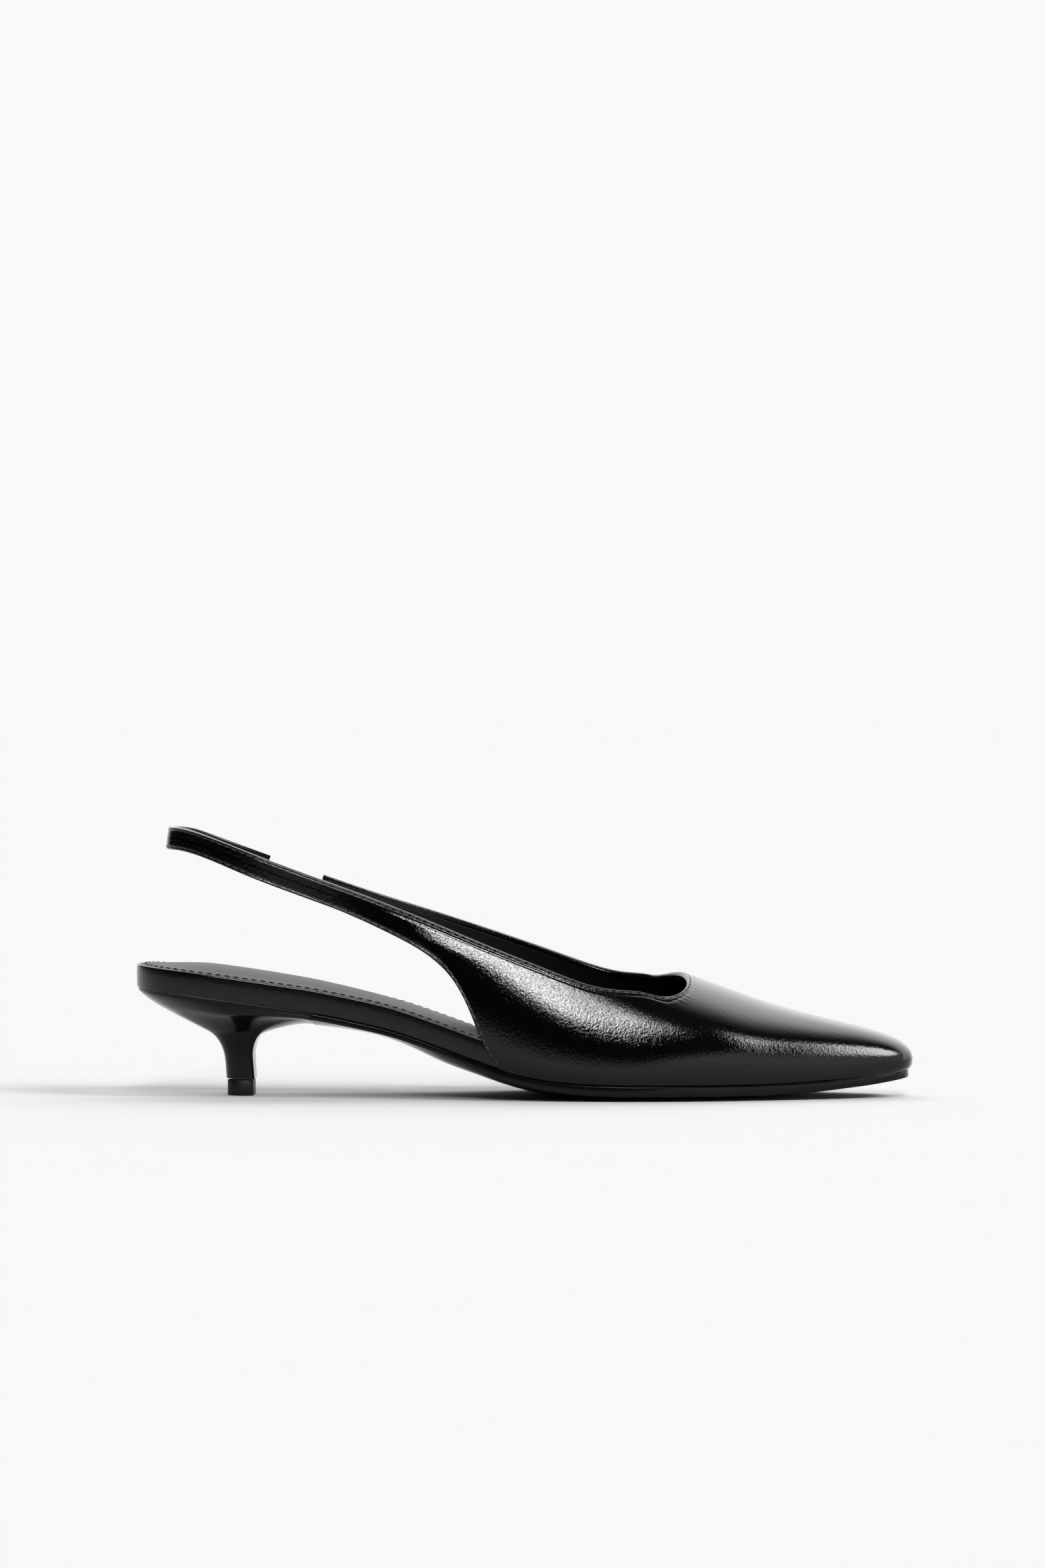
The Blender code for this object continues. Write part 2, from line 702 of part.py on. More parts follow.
def make_top_piece():
    """The wear piece under the heel, a little smaller than the heel's tip."""
    rings = []
    tip = HEEL_ROWS[0]
    for z in (0.0, TOP_PIECE_HEIGHT - GAP):
        ring = heel_ring(tip, 17)
        middle = Vector(((tip.back + tip.front) * HEEL_LIP / 2, 0, 0))
        half = (tip.front - tip.back) * HEEL_LIP / 2
        for point in ring:
            point.z = z
            flat = point - middle
            flat.z = 0
            shrink = flat * (1 - TOP_PIECE_STEP / half)
            point.x = middle.x + shrink.x
            point.y = shrink.y
        rings.append(ring)
    return finish("top_piece", tube(rings), material("black_rubber", (0.02, 0.02, 0.02), 0.6))


def clear_scene():
    for old in list(bpy.data.objects):
        bpy.data.objects.remove(old, do_unlink=True)


def main():
    clear_scene()
    make_upper()
    make_elastic()
    make_footbed()
    make_insole()
    make_outsole()
    make_heel()
    make_top_piece()


main()
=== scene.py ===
"""Slingback pump with a kitten heel, right shoe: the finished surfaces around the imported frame.

The functions of the last work in millimetres. X is measured from the back of the heel seat, -Y is the
outer side of the foot and the floor lies at Z = 0. Each finished mesh is moved and scaled into the
frame's metres.
"""
import math
from collections import namedtuple

import bmesh
import bpy
import numpy as np
from mathutils import Matrix, Vector


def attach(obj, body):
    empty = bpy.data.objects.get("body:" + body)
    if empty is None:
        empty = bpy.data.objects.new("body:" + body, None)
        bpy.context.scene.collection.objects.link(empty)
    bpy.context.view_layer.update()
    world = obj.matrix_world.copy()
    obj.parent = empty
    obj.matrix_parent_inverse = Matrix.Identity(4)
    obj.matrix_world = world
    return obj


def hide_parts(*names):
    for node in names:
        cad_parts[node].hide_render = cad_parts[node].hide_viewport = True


bl_info = {
    "name": "Slingback Pump",
    "version": (1, 0, 0),
    "blender": (4, 5, 0),
    "location": "View3D > Sidebar > Shoe",
    "description": "Builds a black leather slingback pump with a kitten heel around its frame",
    "category": "Add Mesh",
}

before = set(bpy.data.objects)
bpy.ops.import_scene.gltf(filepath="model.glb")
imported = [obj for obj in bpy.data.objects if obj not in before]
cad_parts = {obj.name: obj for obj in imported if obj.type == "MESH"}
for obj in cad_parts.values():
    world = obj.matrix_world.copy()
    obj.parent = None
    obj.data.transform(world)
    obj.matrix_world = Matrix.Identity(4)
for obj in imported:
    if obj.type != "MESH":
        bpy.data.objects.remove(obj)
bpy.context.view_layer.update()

MM = 0.001
MERGE = 1e-4


def table(names, rows):
    """The columns of a table by their names."""
    return dict(zip(names.split(), np.array(rows, float).T))


# Driving sizes of the last
SHOE_LENGTH = 252.0
BALL_WIDTH = 67.0
SEAT_WIDTH = 50.0
HEEL_HEIGHT = 35.2
TOE_SPRING = 4.2
THROAT_HEIGHT = 39.2
THROAT_PLACE = 178.0
WIDEST_RISE = 10.0
SIDE_BULGE = 2.0
TOE_BLEND = 12.0
HEEL_BLEND = 27.0

# Driving sizes of the upper and its strap
UPPER_WALL = 2.0
STRAP_HEIGHT = 87.4
STRAP_WIDTH = 7.4
STRAP_BACK = 9.2
STRAP_SPAN = 49.0
STRAP_STRAIGHT = 50.0
STRAP_LEAN = 0.14
QUARTER_FOOT = 118.0
QUARTER_TOP = 70.0
THROAT_DEPTH = 13.0
THROAT_SLANT = 0.16
LATERAL_LIFT = 0.8
MEDIAL_LIFT = 0.9
CORNER_PLACE = 166.0
CORNER_REACH = 9.0
ELASTIC_BACK = 41.5
ELASTIC_LENGTH = 17.6
ELASTIC_WIDTH = 5.0
ELASTIC_DROP = 1.9
ELASTIC_WALL = 1.2
RIBS = 8
RIB_HEIGHT = 0.12

# Driving sizes of what lies under the foot
FOOTBED_DEPTH = 7.5
FOREPART_DEPTH = 4.0
SOCK_RECESS = 0.6
SOCK_DEPTH = 0.8
SOCK_PAD = 2.2
RIM_WIDTH = 1.0
SOLE_DEPTH = 4.9
SOLE_EDGE = 3.1
SOLE_STEP = 0.6
TREAD_FLAT = 0.2
SOLE_TOE_TUCK = 1.1
HEEL_LIP = 58.0
LIP_CROWN = 0.45
TOP_PIECE_HEIGHT = 5.4
HEEL_CHAMFER = 1.7
HEEL_EDGE = 0.4
HEEL_TURNS = 40

GAP = 0.3

# How square the rounded outlines are: two is an ellipse, and more is nearer to a box
SEAT_SQUARE = 2.2
STRAP_SQUARE = 2.25
TOE_SQUARE = 5.0
THROAT_SQUARE_LATERAL = 2.6
THROAT_SQUARE_MEDIAL = 2.0
# How late the upper's side turns in towards its lower edge
TUCK = 2.6

# One row for each section of the last. along is a share of SHOE_LENGTH, lateral and medial are shares
# of BALL_WIDTH, rise and sole are shares of the heel's height over the ball, spring and tip are shares
# of TOE_SPRING, ridge is a share of THROAT_HEIGHT and widest is a share of WIDEST_RISE.
LAST = table("along lateral medial rise spring sole tip ridge widest", (
    (0.000, 0.373, 0.373, 1.000, 0.00, 0.800, 0.00, 4.10, 1.00),
    (0.070, 0.373, 0.373, 0.936, 0.00, 0.780, 0.00, 3.95, 1.00),
    (0.133, 0.373, 0.371, 0.868, 0.00, 0.765, 0.00, 3.75, 1.00),
    (0.194, 0.371, 0.361, 0.795, 0.00, 0.760, 0.00, 3.45, 1.00),
    (0.238, 0.372, 0.350, 0.738, 0.00, 0.757, 0.00, 3.20, 1.00),
    (0.306, 0.379, 0.341, 0.622, 0.00, 0.675, 0.00, 2.82, 1.00),
    (0.345, 0.388, 0.342, 0.536, 0.00, 0.570, 0.00, 2.60, 1.00),
    (0.398, 0.408, 0.357, 0.384, 0.00, 0.366, 0.00, 2.30, 1.00),
    (0.443, 0.432, 0.381, 0.245, 0.00, 0.232, 0.00, 2.06, 1.00),
    (0.480, 0.456, 0.407, 0.140, 0.00, 0.132, 0.00, 1.88, 0.92),
    (0.520, 0.480, 0.436, 0.068, 0.00, 0.045, 0.00, 1.70, 0.76),
    (0.560, 0.496, 0.463, 0.028, 0.00, 0.000, 0.00, 1.52, 0.68),
    (0.615, 0.502, 0.486, 0.004, 0.00, 0.000, 0.00, 1.30, 0.62),
    (0.670, 0.492, 0.495, 0.000, 0.00, 0.000, 0.00, 1.12, 0.66),
    (0.714, 0.470, 0.484, 0.000, 0.00, 0.000, 0.00, 1.00, 0.70),
    (0.760, 0.432, 0.451, 0.000, 0.00, 0.000, 0.00, 0.892, 0.71),
    (0.820, 0.363, 0.377, 0.000, 0.04, 0.000, 0.10, 0.760, 0.60),
    (0.880, 0.287, 0.297, 0.000, 0.20, 0.000, 0.45, 0.656, 0.49),
    (0.940, 0.203, 0.208, 0.000, 0.48, 0.000, 0.98, 0.562, 0.38),
    (1.000, 0.116, 0.119, 0.000, 1.00, 0.000, 1.75, 0.442, 0.30),
))

# Height of the topline between THROAT_HEIGHT and STRAP_HEIGHT, on the outer and the inner side
TOPLINE = table("along lateral medial", (
    (0.035, 1.000, 1.000),
    (0.060, 0.990, 0.985),
    (0.100, 0.930, 0.911),
    (0.167, 0.800, 0.784),
    (0.246, 0.650, 0.638),
    (0.310, 0.530, 0.528),
    (0.377, 0.396, 0.422),
    (0.448, 0.243, 0.302),
    (0.516, 0.102, 0.182),
    (0.583, -0.031, 0.058),
    (0.619, -0.073, 0.005),
    (0.655, -0.100, -0.024),
))

# The quarter's rear edge, from the strap's lower edge down to the sole. step is where the row stands.
REAR_EDGE = table("step along height", (
    (0, 0.000, 1.000),
    (1, 0.180, 0.922),
    (2, 0.359, 0.838),
    (3, 0.541, 0.742),
    (4, 0.685, 0.622),
    (5, 0.775, 0.490),
    (6, 0.848, 0.332),
    (7, 0.908, 0.168),
    (8, 1.000, 0.000),
))

# Edge thickness of the outsole as a share of SOLE_EDGE
SOLE_EDGES = table("along edge", (
    (0.20, 0.60),
    (0.40, 0.58),
    (0.50, 0.85),
    (0.60, 1.00),
    (0.78, 0.95),
    (1.00, 0.70),
))

# The heel from its tip up to the seat. height is a share of the heel's height at the back, back and
# front are shares of HEEL_LIP, width is a share of SEAT_WIDTH, tilt turns a level section into the
# seat's slope and curve is the share of the section's length that is rounded at the back.
HEEL_ROWS = table("height back front width tilt curve", (
    (0.160, 0.500, 0.664, 0.270, 0.0, 0.80),
    (0.300, 0.494, 0.658, 0.276, 0.0, 0.80),
    (0.400, 0.484, 0.656, 0.292, 0.0, 0.80),
    (0.500, 0.458, 0.670, 0.330, 0.0, 0.80),
    (0.580, 0.418, 0.702, 0.390, 0.1, 0.80),
    (0.650, 0.355, 0.760, 0.480, 0.3, 0.78),
    (0.730, 0.265, 0.850, 0.600, 0.5, 0.72),
    (0.800, 0.185, 0.930, 0.720, 0.7, 0.64),
    (0.870, 0.105, 1.000, 0.850, 0.95, 0.56),
    (0.930, 0.045, 1.000, 0.940, 0.95, 0.50),
    (0.975, 0.012, 1.000, 0.985, 1.0, 0.47),
    (1.000, 0.005, 1.000, 0.990, 1.0, 0.47),
))

# The top piece's rows: a height over the floor or a drop from its top, and the step in from the heel
TIP_LOW_ROWS = ((0.0, 0.55), (0.06, 0.46), (0.16, 0.4))
TIP_HIGH_ROWS = ((0.2, 0.4), (0.08, 0.45), (0.0, 0.55))

LATERAL = -1
MEDIAL = 1

# Index of refraction of the polished leather
POLISH = 1.37


def curve(rows, column, place, key="along"):
    """Values of a table's column at places along it, on a smooth curve through the rows."""
    keys = rows[key]
    values = rows[column]
    low = np.maximum(np.arange(len(keys)) - 1, 0)
    high = np.minimum(np.arange(len(keys)) + 1, len(keys) - 1)
    slopes = (values[high] - values[low]) / (keys[high] - keys[low])
    place = np.clip(place, keys[0], keys[-1])
    step = np.clip(np.searchsorted(keys, place, side="left") - 1, 0, len(keys) - 2)
    width = keys[step + 1] - keys[step]
    t = (place - keys[step]) / width
    start = (1 + 2 * t) * (1 - t) ** 2 * values[step]
    end = t * t * (3 - 2 * t) * values[step + 1]
    turn_in = t * (1 - t) ** 2 * width * slopes[step]
    turn_out = t * t * (t - 1) * width * slopes[step + 1]
    return start + end + turn_in + turn_out


def ease(value, low, high):
    """Zero below low, one above high and a smooth step between them."""
    t = np.clip((value - low) / (high - low), 0.0, 1.0)
    return t * t * (3 - 2 * t)


def mix(a, b, share):
    return a + (b - a) * share


def last(column, x):
    return curve(LAST, column, np.asarray(x, float) / SHOE_LENGTH)


def ride(x):
    """Height of the seam between the sole and what stands on it."""
    return SOLE_DEPTH + (HEEL_HEIGHT - SOLE_DEPTH) * last("rise", x) + TOE_SPRING * last("spring", x)


def underside(x):
    """Height of the outsole's lowest line."""
    return np.maximum((HEEL_HEIGHT - SOLE_DEPTH) * last("sole", x) + TOE_SPRING * last("tip", x), 0.0)


def widest(x):
    """Height of the upper's widest line."""
    return ride(x) + WIDEST_RISE * last("widest", x)


def bulge(x):
    """How far the upper's side stands out over its own lower edge."""
    return SIDE_BULGE * np.sqrt(last("widest", x))


def ridge(x):
    """Height of the vamp's ridge, and behind the throat of the instep that it would follow."""
    return THROAT_HEIGHT * last("ridge", x)


BOARD_END = SHOE_LENGTH - UPPER_WALL - GAP - float(bulge(SHOE_LENGTH))


def board(x, side):
    """Half the board's width before its ends are rounded."""
    wide = last("lateral" if side == LATERAL else "medial", x) * BALL_WIDTH
    return mix(SEAT_WIDTH / 2, wide, ease(x, 0.1 * SHOE_LENGTH, 0.25 * SHOE_LENGTH))


def corner(x):
    """How square the toe is in plan: the exponent of its rounding."""
    return 2.0 + ease(x, 0.78 * SHOE_LENGTH, 0.97 * SHOE_LENGTH)


def toe_part(x, grow):
    """Zero up to the toe's blend and one at its front, to the power of the rounding."""
    start = BOARD_END - TOE_BLEND
    return np.clip((x - start) / (TOE_BLEND + grow), 0.0, 1.0) ** TOE_SQUARE


def half_width(x, side, grow):
    """Half the width in plan at a distance outside the board, rounded at the heel and the toe."""
    toe = (1 - toe_part(x, grow)) ** (1 / corner(x))
    back = np.clip((HEEL_BLEND - x) / (HEEL_BLEND + grow), 0.0, 1.0)
    heel = (1 - back ** SEAT_SQUARE) ** (1 / SEAT_SQUARE)
    return (board(x, side) + grow) * toe * heel


def upper_grow(x):
    """How far the upper's widest line lies outside the board."""
    return GAP + UPPER_WALL + bulge(x)


def fullness(x):
    """The exponent of the upper's arch, rounder at the back and fuller at the toe."""
    return mix(0.5, 0.45, ease(x, 0.8 * SHOE_LENGTH, 0.97 * SHOE_LENGTH))


def arch_height(x, y, side):
    """Height of the upper over a point of its plan, inside its widest line."""
    grow = upper_grow(x)
    across = np.abs(y) / (board(x, side) + grow)
    left = np.maximum(1 - across ** corner(x) - toe_part(x, grow), 0.0)
    return widest(x) + (ridge(x) - widest(x)) * left ** fullness(x)


def wall_half(x, z, side):
    """Distance of the upper's side wall from the middle at a height."""
    wide = board(x, side) + upper_grow(x)
    low = widest(x)
    share = np.clip((z - low) / (ridge(x) - low), 0.0, 1.0)
    over = wide * (1 - share ** (1 / fullness(x))) ** (1 / corner(x))
    under = np.clip((low - z) / (low - ride(x)), 0.0, 1.0)
    return np.where(z >= low, over, wide - bulge(x) * under ** TUCK)


def strap_half(x, z, side):
    """Distance of the strap and of the quarter behind it from the middle."""
    share = ease(x, STRAP_STRAIGHT, QUARTER_TOP + 30)
    return mix(STRAP_SPAN / 2, wall_half(x, z, side), share)


def topline(x, side):
    """Height of the topline, lifted a little into the throat's corners."""
    column = "lateral" if side == LATERAL else "medial"
    x = np.asarray(x, float)
    most = LATERAL_LIFT if side == LATERAL else MEDIAL_LIFT
    lift = most * np.exp(-((x - CORNER_PLACE) / CORNER_REACH) ** 2)
    return mix(THROAT_HEIGHT, STRAP_HEIGHT, curve(TOPLINE, column, x / SHOE_LENGTH)) + lift


def strap_plan_y(x):
    """Distance of the strap from the middle where it turns round the heel."""
    turned = np.clip((STRAP_STRAIGHT - x) / (STRAP_STRAIGHT - STRAP_BACK), 0.0, 1.0)
    return STRAP_SPAN / 2 * (1 - turned ** STRAP_SQUARE) ** (1 / STRAP_SQUARE)


def strap_low(x, side):
    """The strap's lower edge below a point of its topline: a place and a height."""
    fall = (topline(x - 2, side) - topline(x + 2, side)) / 4
    length = np.hypot(1, fall)
    straight = ease(x, STRAP_BACK, STRAP_STRAIGHT)
    return x - STRAP_WIDTH * fall / length * straight, topline(x, side) - STRAP_WIDTH / length


def rear_edge(share, side):
    """A point of the quarter's rear edge in the side view, from the strap down to the sole."""
    start_x, start_z = strap_low(QUARTER_TOP, side)
    step = share * REAR_EDGE["step"][-1]
    foot = ride(QUARTER_FOOT) + GAP / 2
    x = mix(start_x, QUARTER_FOOT, curve(REAR_EDGE, "along", step, "step"))
    return x, mix(foot, start_z, curve(REAR_EDGE, "height", step, "step"))


def throat_point(share, side):
    """A point of the topline from the quarter's foot round the throat's corner to its middle."""
    turn_x = THROAT_PLACE - THROAT_DEPTH
    turn_y = wall_half(turn_x, topline(turn_x, side), side)
    side_part = (turn_x - QUARTER_FOOT) / (turn_x - QUARTER_FOOT + THROAT_DEPTH + turn_y * 0.8)
    if share < side_part:
        x = mix(QUARTER_FOOT, turn_x, share / side_part)
        return np.array((x, side * wall_half(x, topline(x, side), side), topline(x, side)))
    angle = (share - side_part) / (1 - side_part) * math.pi / 2
    power = 2 / (THROAT_SQUARE_LATERAL if side == LATERAL else THROAT_SQUARE_MEDIAL)
    y = side * turn_y * max(math.cos(angle), 0.0) ** power
    x = turn_x + (THROAT_DEPTH - THROAT_SLANT * y) * math.sin(angle) ** power
    return np.array((x, y, arch_height(x, y, side)))


def outline_point(share, side):
    """A point of the upper's widest line in plan, from the quarter's foot to the middle of the toe."""
    start = BOARD_END - TOE_BLEND
    grow = upper_grow(SHOE_LENGTH)
    front = start + TOE_BLEND + grow
    side_part = (start - QUARTER_FOOT) / (front - QUARTER_FOOT + board(front, side) + grow)
    if share < side_part:
        x = mix(QUARTER_FOOT, start, share / side_part)
        return np.array((x, side * (board(x, side) + upper_grow(x)), widest(x)))
    angle = (share - side_part) / (1 - side_part) * math.pi / 2
    x = start + (front - start) * math.sin(angle) ** (2 / TOE_SQUARE)
    y = side * (board(x, side) + upper_grow(x)) * max(math.cos(angle), 0.0) ** (2 / corner(x))
    return np.array((x, y, widest(x)))


def outline_share(share):
    """Share of the outline that lies under a share of the topline, so that the columns fan out."""
    return 0.55 * share + 0.45 * share * share


def outline_inward(share, side):
    """The level direction into the shoe, square to its outline."""
    if share > 0.999:
        return np.array((-1.0, 0.0, 0.0))
    along = outline_point(share + 1e-3, side) - outline_point(max(share - 1e-3, 0.0), side)
    inward = np.array((side * along[1], -side * along[0], 0.0))
    return inward / np.linalg.norm(inward)


def vamp_column(share, side):
    """Points from the topline down the upper to its lower edge, in front of the quarter's rear edge."""
    start = throat_point(share, side)
    under_share = outline_share(share)
    wide = outline_point(under_share, side)
    way = np.sin(np.linspace(0, math.pi / 2, DENSE_ROWS * 2 // 3))
    x = mix(start[0], wide[0], way)
    y = mix(start[1], wide[1], way)
    over = np.column_stack((x, y, arch_height(x, y, side)))
    over[0] = start
    over[-1] = wide
    under = np.linspace(0, 1, DENSE_ROWS // 3)[1:, None]
    below = wide + outline_inward(under_share, side) * bulge(wide[0]) * under ** TUCK
    below[:, 2] = mix(wide[2], ride(wide[0]) + GAP / 2, under[:, 0])
    return np.vstack((over, below))


def side_column(top, low, side):
    """Points down the strap or the quarter between two points of the side view."""
    x = np.linspace(top[0], low[0], DENSE_ROWS)
    z = np.linspace(top[1], low[1], DENSE_ROWS)
    return np.column_stack((x, side * strap_half(x, z, side), z))


def strap_end(x):
    """A column across the inner side's strap where the elastic interrupts it."""
    column = side_column((x, topline(x, MEDIAL)), strap_low(x, MEDIAL), MEDIAL)
    turned = column[:, 0] < STRAP_STRAIGHT
    column[turned, 1] = strap_plan_y(column[turned, 0])
    return column


def back_column(turn, side):
    """Points down the strap round the heel: turn is zero at the back and one at the side."""
    angle = turn * math.pi / 2
    power = 2 / STRAP_SQUARE
    x = STRAP_STRAIGHT - (STRAP_STRAIGHT - STRAP_BACK) * max(math.cos(angle), 0.0) ** power
    y = side * STRAP_SPAN / 2 * math.sin(angle) ** power
    low_x, low_z = strap_low(x, side)
    z = np.linspace(topline(x, side), low_z, DENSE_ROWS)
    lean = STRAP_LEAN * (z - low_z) * (1 - turn)
    return np.column_stack((np.linspace(x, low_x, DENSE_ROWS) + lean, np.full(DENSE_ROWS, y), z))


DENSE_ROWS = 150
BACK_COLUMNS = 46
STRAIGHT_COLUMNS = 18
FAN_COLUMNS = 46
VAMP_COLUMNS = 120
SOFT_PASSES = 12

# Points of each plate's outline on one side
PLATE_COLUMNS = 170

# The forms along the upper's cut edges, in millimetres square to the edge and down into the wall
EDGE_ROUND = 0.55
DITCH_PLACE = 0.95
DITCH_HALF = 0.2
FOLD_PLACE = 2.05
FOLD_HALF = 0.42
EDGE_ZONE = 4.0
EDGE_ROWS = 34
TOP_FOLD = 0.14
MIDDLE_ROWS = 36
FOLD_IN = 1.5
LEATHER_WALL = 1.1
LINING_STEP = 0.12

# The turned edge of the leather: distances from the edge and depths below the outer surface
FOLD = np.array((0.0, 0.03, 0.16, 0.4, 0.9, FOLD_IN, FOLD_IN + 0.05))
FOLD_DEPTH = np.array((1.35, 1.62, 1.86, 1.98, 2.0, 1.96, LEATHER_WALL))

# How deep the stitches lie, as a share of the ditch that they pull
STITCH_SINK = 0.6
# Rows of stitches end where the lower edge stands this far from the quarter's foot
REAR_REACH = 1.5

# The wrinkles at the throat: each wave's share, its rate along the seam and its shift
WRINKLE_HEIGHT = 0.035
WRINKLES = ((1.0, 2.9, 0.0), (0.6, 4.7, 1.3), (0.5, 1.7, 0.4))

# The soft swell of the quarter behind its highlight: distances below the topline and, along the shoe,
# where it rises and where it fades
SWELL_HEIGHT = 0.26
SWELL_TOP = 0.8
SWELL_CREST = 6.2
SWELL_END = 12.5
SWELL_RISES = (82, 96)
SWELL_FADES = (104, 119)


def even_rows(points, count):
    """The same column with its points an even distance apart."""
    along = arc(points)
    places = np.linspace(0, along[-1], count)
    return np.column_stack([np.interp(places, along, points[:, i]) for i in range(3)])


def arc(points):
    steps = np.linalg.norm(np.diff(points, axis=0), axis=1)
    return np.concatenate(([0.0], np.cumsum(steps)))


def unit(vectors):
    return vectors / np.maximum(np.linalg.norm(vectors, axis=-1, keepdims=True), 1e-12)


def slant(columns, end):
    """Sine of the angle between each column and the edge that it ends on."""
    edge = columns[:, end]
    inner = columns[:, 3 if end == 0 else -4]
    along = unit(np.gradient(edge, axis=0))
    return np.linalg.norm(np.cross(along, unit(inner - edge)), axis=1)


class UpperSheet:
    """The upper's outer surface as columns from edge to edge, with what its sections need."""

    def __init__(self, columns, low_sine, low_extra):
        self.points = columns
        self.length = np.array([arc(column)[-1] for column in columns])
        self.top_sine = np.clip(slant(columns, 0), 0.35, 1.0)
        self.low_sine = low_sine
        self.low_extra = low_extra
        across = np.gradient(columns, axis=0)
        down = np.gradient(columns, axis=1)
        self.normals = unit(np.cross(down, across))

    def at(self, places, depths):
        """Points at distances from the top edge along every column, sunk into the wall by depths."""
        rows = self.points.shape[1] - 1
        spot = np.clip(places / self.length[:, None] * rows, 0, rows)
        low = np.minimum(spot.astype(int), rows - 1)
        part = (spot - low)[..., None]
        column = np.arange(len(self.points))[:, None]
        points = mix(self.points[column, low], self.points[column, low + 1], part)
        normals = unit(mix(self.normals[column, low], self.normals[column, low + 1], part))
        return points - normals * depths[..., None], normals

    def from_top(self, distance):
        """Places at a distance square to the top edge."""
        return distance[None, :] / self.top_sine[:, None]

    def from_low(self, distance):
        """Places at a distance square to the lower or rear edge, kept on the column and apart."""
        spread = np.arange(len(distance)) * 0.05
        up = distance[None, :] / self.low_sine[:, None] - self.low_extra[:, None]
        return self.length[:, None] - np.maximum(up, spread[None, :])

    def top_distance(self, places):
        return places * self.top_sine[:, None]

    def low_distance(self, places):
        return (self.length[:, None] - places + self.low_extra[:, None]) * self.low_sine[:, None]


def half_upper(side):
    """Columns of one side from the back of the heel to the middle of the toe."""
    columns = [back_column(i / BACK_COLUMNS, side) for i in range(BACK_COLUMNS + 1)]
    for i in range(1, STRAIGHT_COLUMNS + 1):
        x = mix(STRAP_STRAIGHT, QUARTER_TOP, i / STRAIGHT_COLUMNS)
        columns.append(side_column((x, topline(x, side)), strap_low(x, side), side))
    for i in range(1, FAN_COLUMNS):
        x = mix(QUARTER_TOP, QUARTER_FOOT, i / FAN_COLUMNS)
        columns.append(side_column((x, topline(x, side)), rear_edge(i / FAN_COLUMNS, side), side))
    foot = len(columns)
    columns += [vamp_column(i / VAMP_COLUMNS, side) for i in range(VAMP_COLUMNS + 1)]
    columns = np.array([even_rows(column, DENSE_ROWS) for column in columns])
    sine = np.ones(len(columns))
    sine[:foot] = np.clip(slant(columns[:foot], -1), 0.3, 1.0)
    sine[foot:] = sine[foot - 1]
    run = arc(columns[foot:, -1])
    extra = np.zeros(len(columns))
    extra[foot:] = run * math.sqrt(1 - sine[foot] ** 2) / sine[foot]
    return columns, sine, extra


def soften(columns, passes):
    """Evens out neighbouring columns, so that curves that meet at an angle run into each other."""
    for _ in range(passes):
        columns[1:-1] = 0.25 * columns[:-2] + 0.5 * columns[1:-1] + 0.25 * columns[2:]
    return columns


def make_sheet():
    """The whole upper: from the sling's end, round the heel and the toe, to the inner quarter."""
    outer, outer_sine, outer_extra = half_upper(LATERAL)
    inner, inner_sine, inner_extra = half_upper(MEDIAL)
    elastic_end = ELASTIC_BACK + ELASTIC_LENGTH
    top_x = inner[:, 0, 0]
    first = np.arange(len(inner))
    sling = first[(first > 0) & (top_x < ELASTIC_BACK - 0.6)]
    quarter = first[(first < len(inner) - 1) & (top_x > elastic_end + 0.6)]
    sling_end = even_rows(strap_end(ELASTIC_BACK), DENSE_ROWS)[None]
    quarter_end = even_rows(strap_end(elastic_end), DENSE_ROWS)[None]

    def joined(start, medial, lateral, end):
        return np.concatenate((start, medial[sling][::-1], lateral, medial[quarter][::-1], end))

    columns = soften(joined(sling_end, inner, outer, quarter_end), SOFT_PASSES)
    sine = joined([1.0], inner_sine, outer_sine, [1.0])
    return UpperSheet(columns, sine, joined([0.0], inner_extra, outer_extra, [0.0]))


def edge_depth(distance, ditch, fold):
    """How deep the outer surface lies near a cut edge: the rounded rim, the ditch that the stitches
    pull and the soft hollow below the ridge that the turned edge leaves."""
    rim = np.clip(1 - distance / EDGE_ROUND, 0.0, 1.0)
    rounded = UPPER_WALL / 2 * (1 - np.sqrt(np.maximum(1 - rim ** 2, 0.0)))
    pulled = ditch * np.exp(-((distance - DITCH_PLACE) / DITCH_HALF) ** 2)
    return rounded + pulled + fold * np.exp(-((distance - FOLD_PLACE) / FOLD_HALF) ** 2)


def pull_wrinkles(sheet, places):
    """Short wrinkles that run from the throat's seam out onto the vamp."""
    points = sheet.points[:, 0]
    along = arc(points)
    front = ease(points[:, 0], THROAT_PLACE - THROAT_DEPTH, THROAT_PLACE - 2)
    wave = sum(part * np.sin(along * rate + shift) for part, rate, shift in WRINKLES)
    distance = sheet.top_distance(places)
    fade = ease(distance, 1.1, 1.8) * (1 - ease(distance, 2.2, 6.0))
    return WRINKLE_HEIGHT * (front * wave)[:, None] * fade


def quarter_swell(sheet, places):
    """The soft swell where the quarter narrows into the strap."""
    x = sheet.at(places, np.zeros_like(places))[0][..., 0]
    distance = sheet.top_distance(places)
    end = np.minimum(SWELL_END, sheet.top_distance(sheet.length[:, None]) - 0.3)
    crest = np.minimum(SWELL_CREST, end * 0.62)
    up = np.clip((distance - SWELL_TOP) / (crest - SWELL_TOP), 0.0, 1.0)
    swell = up * (1 - ease(distance, crest, end)) * ease(x, *SWELL_RISES) * (1 - ease(x, *SWELL_FADES))
    return -SWELL_HEIGHT * (crest / SWELL_CREST) * swell


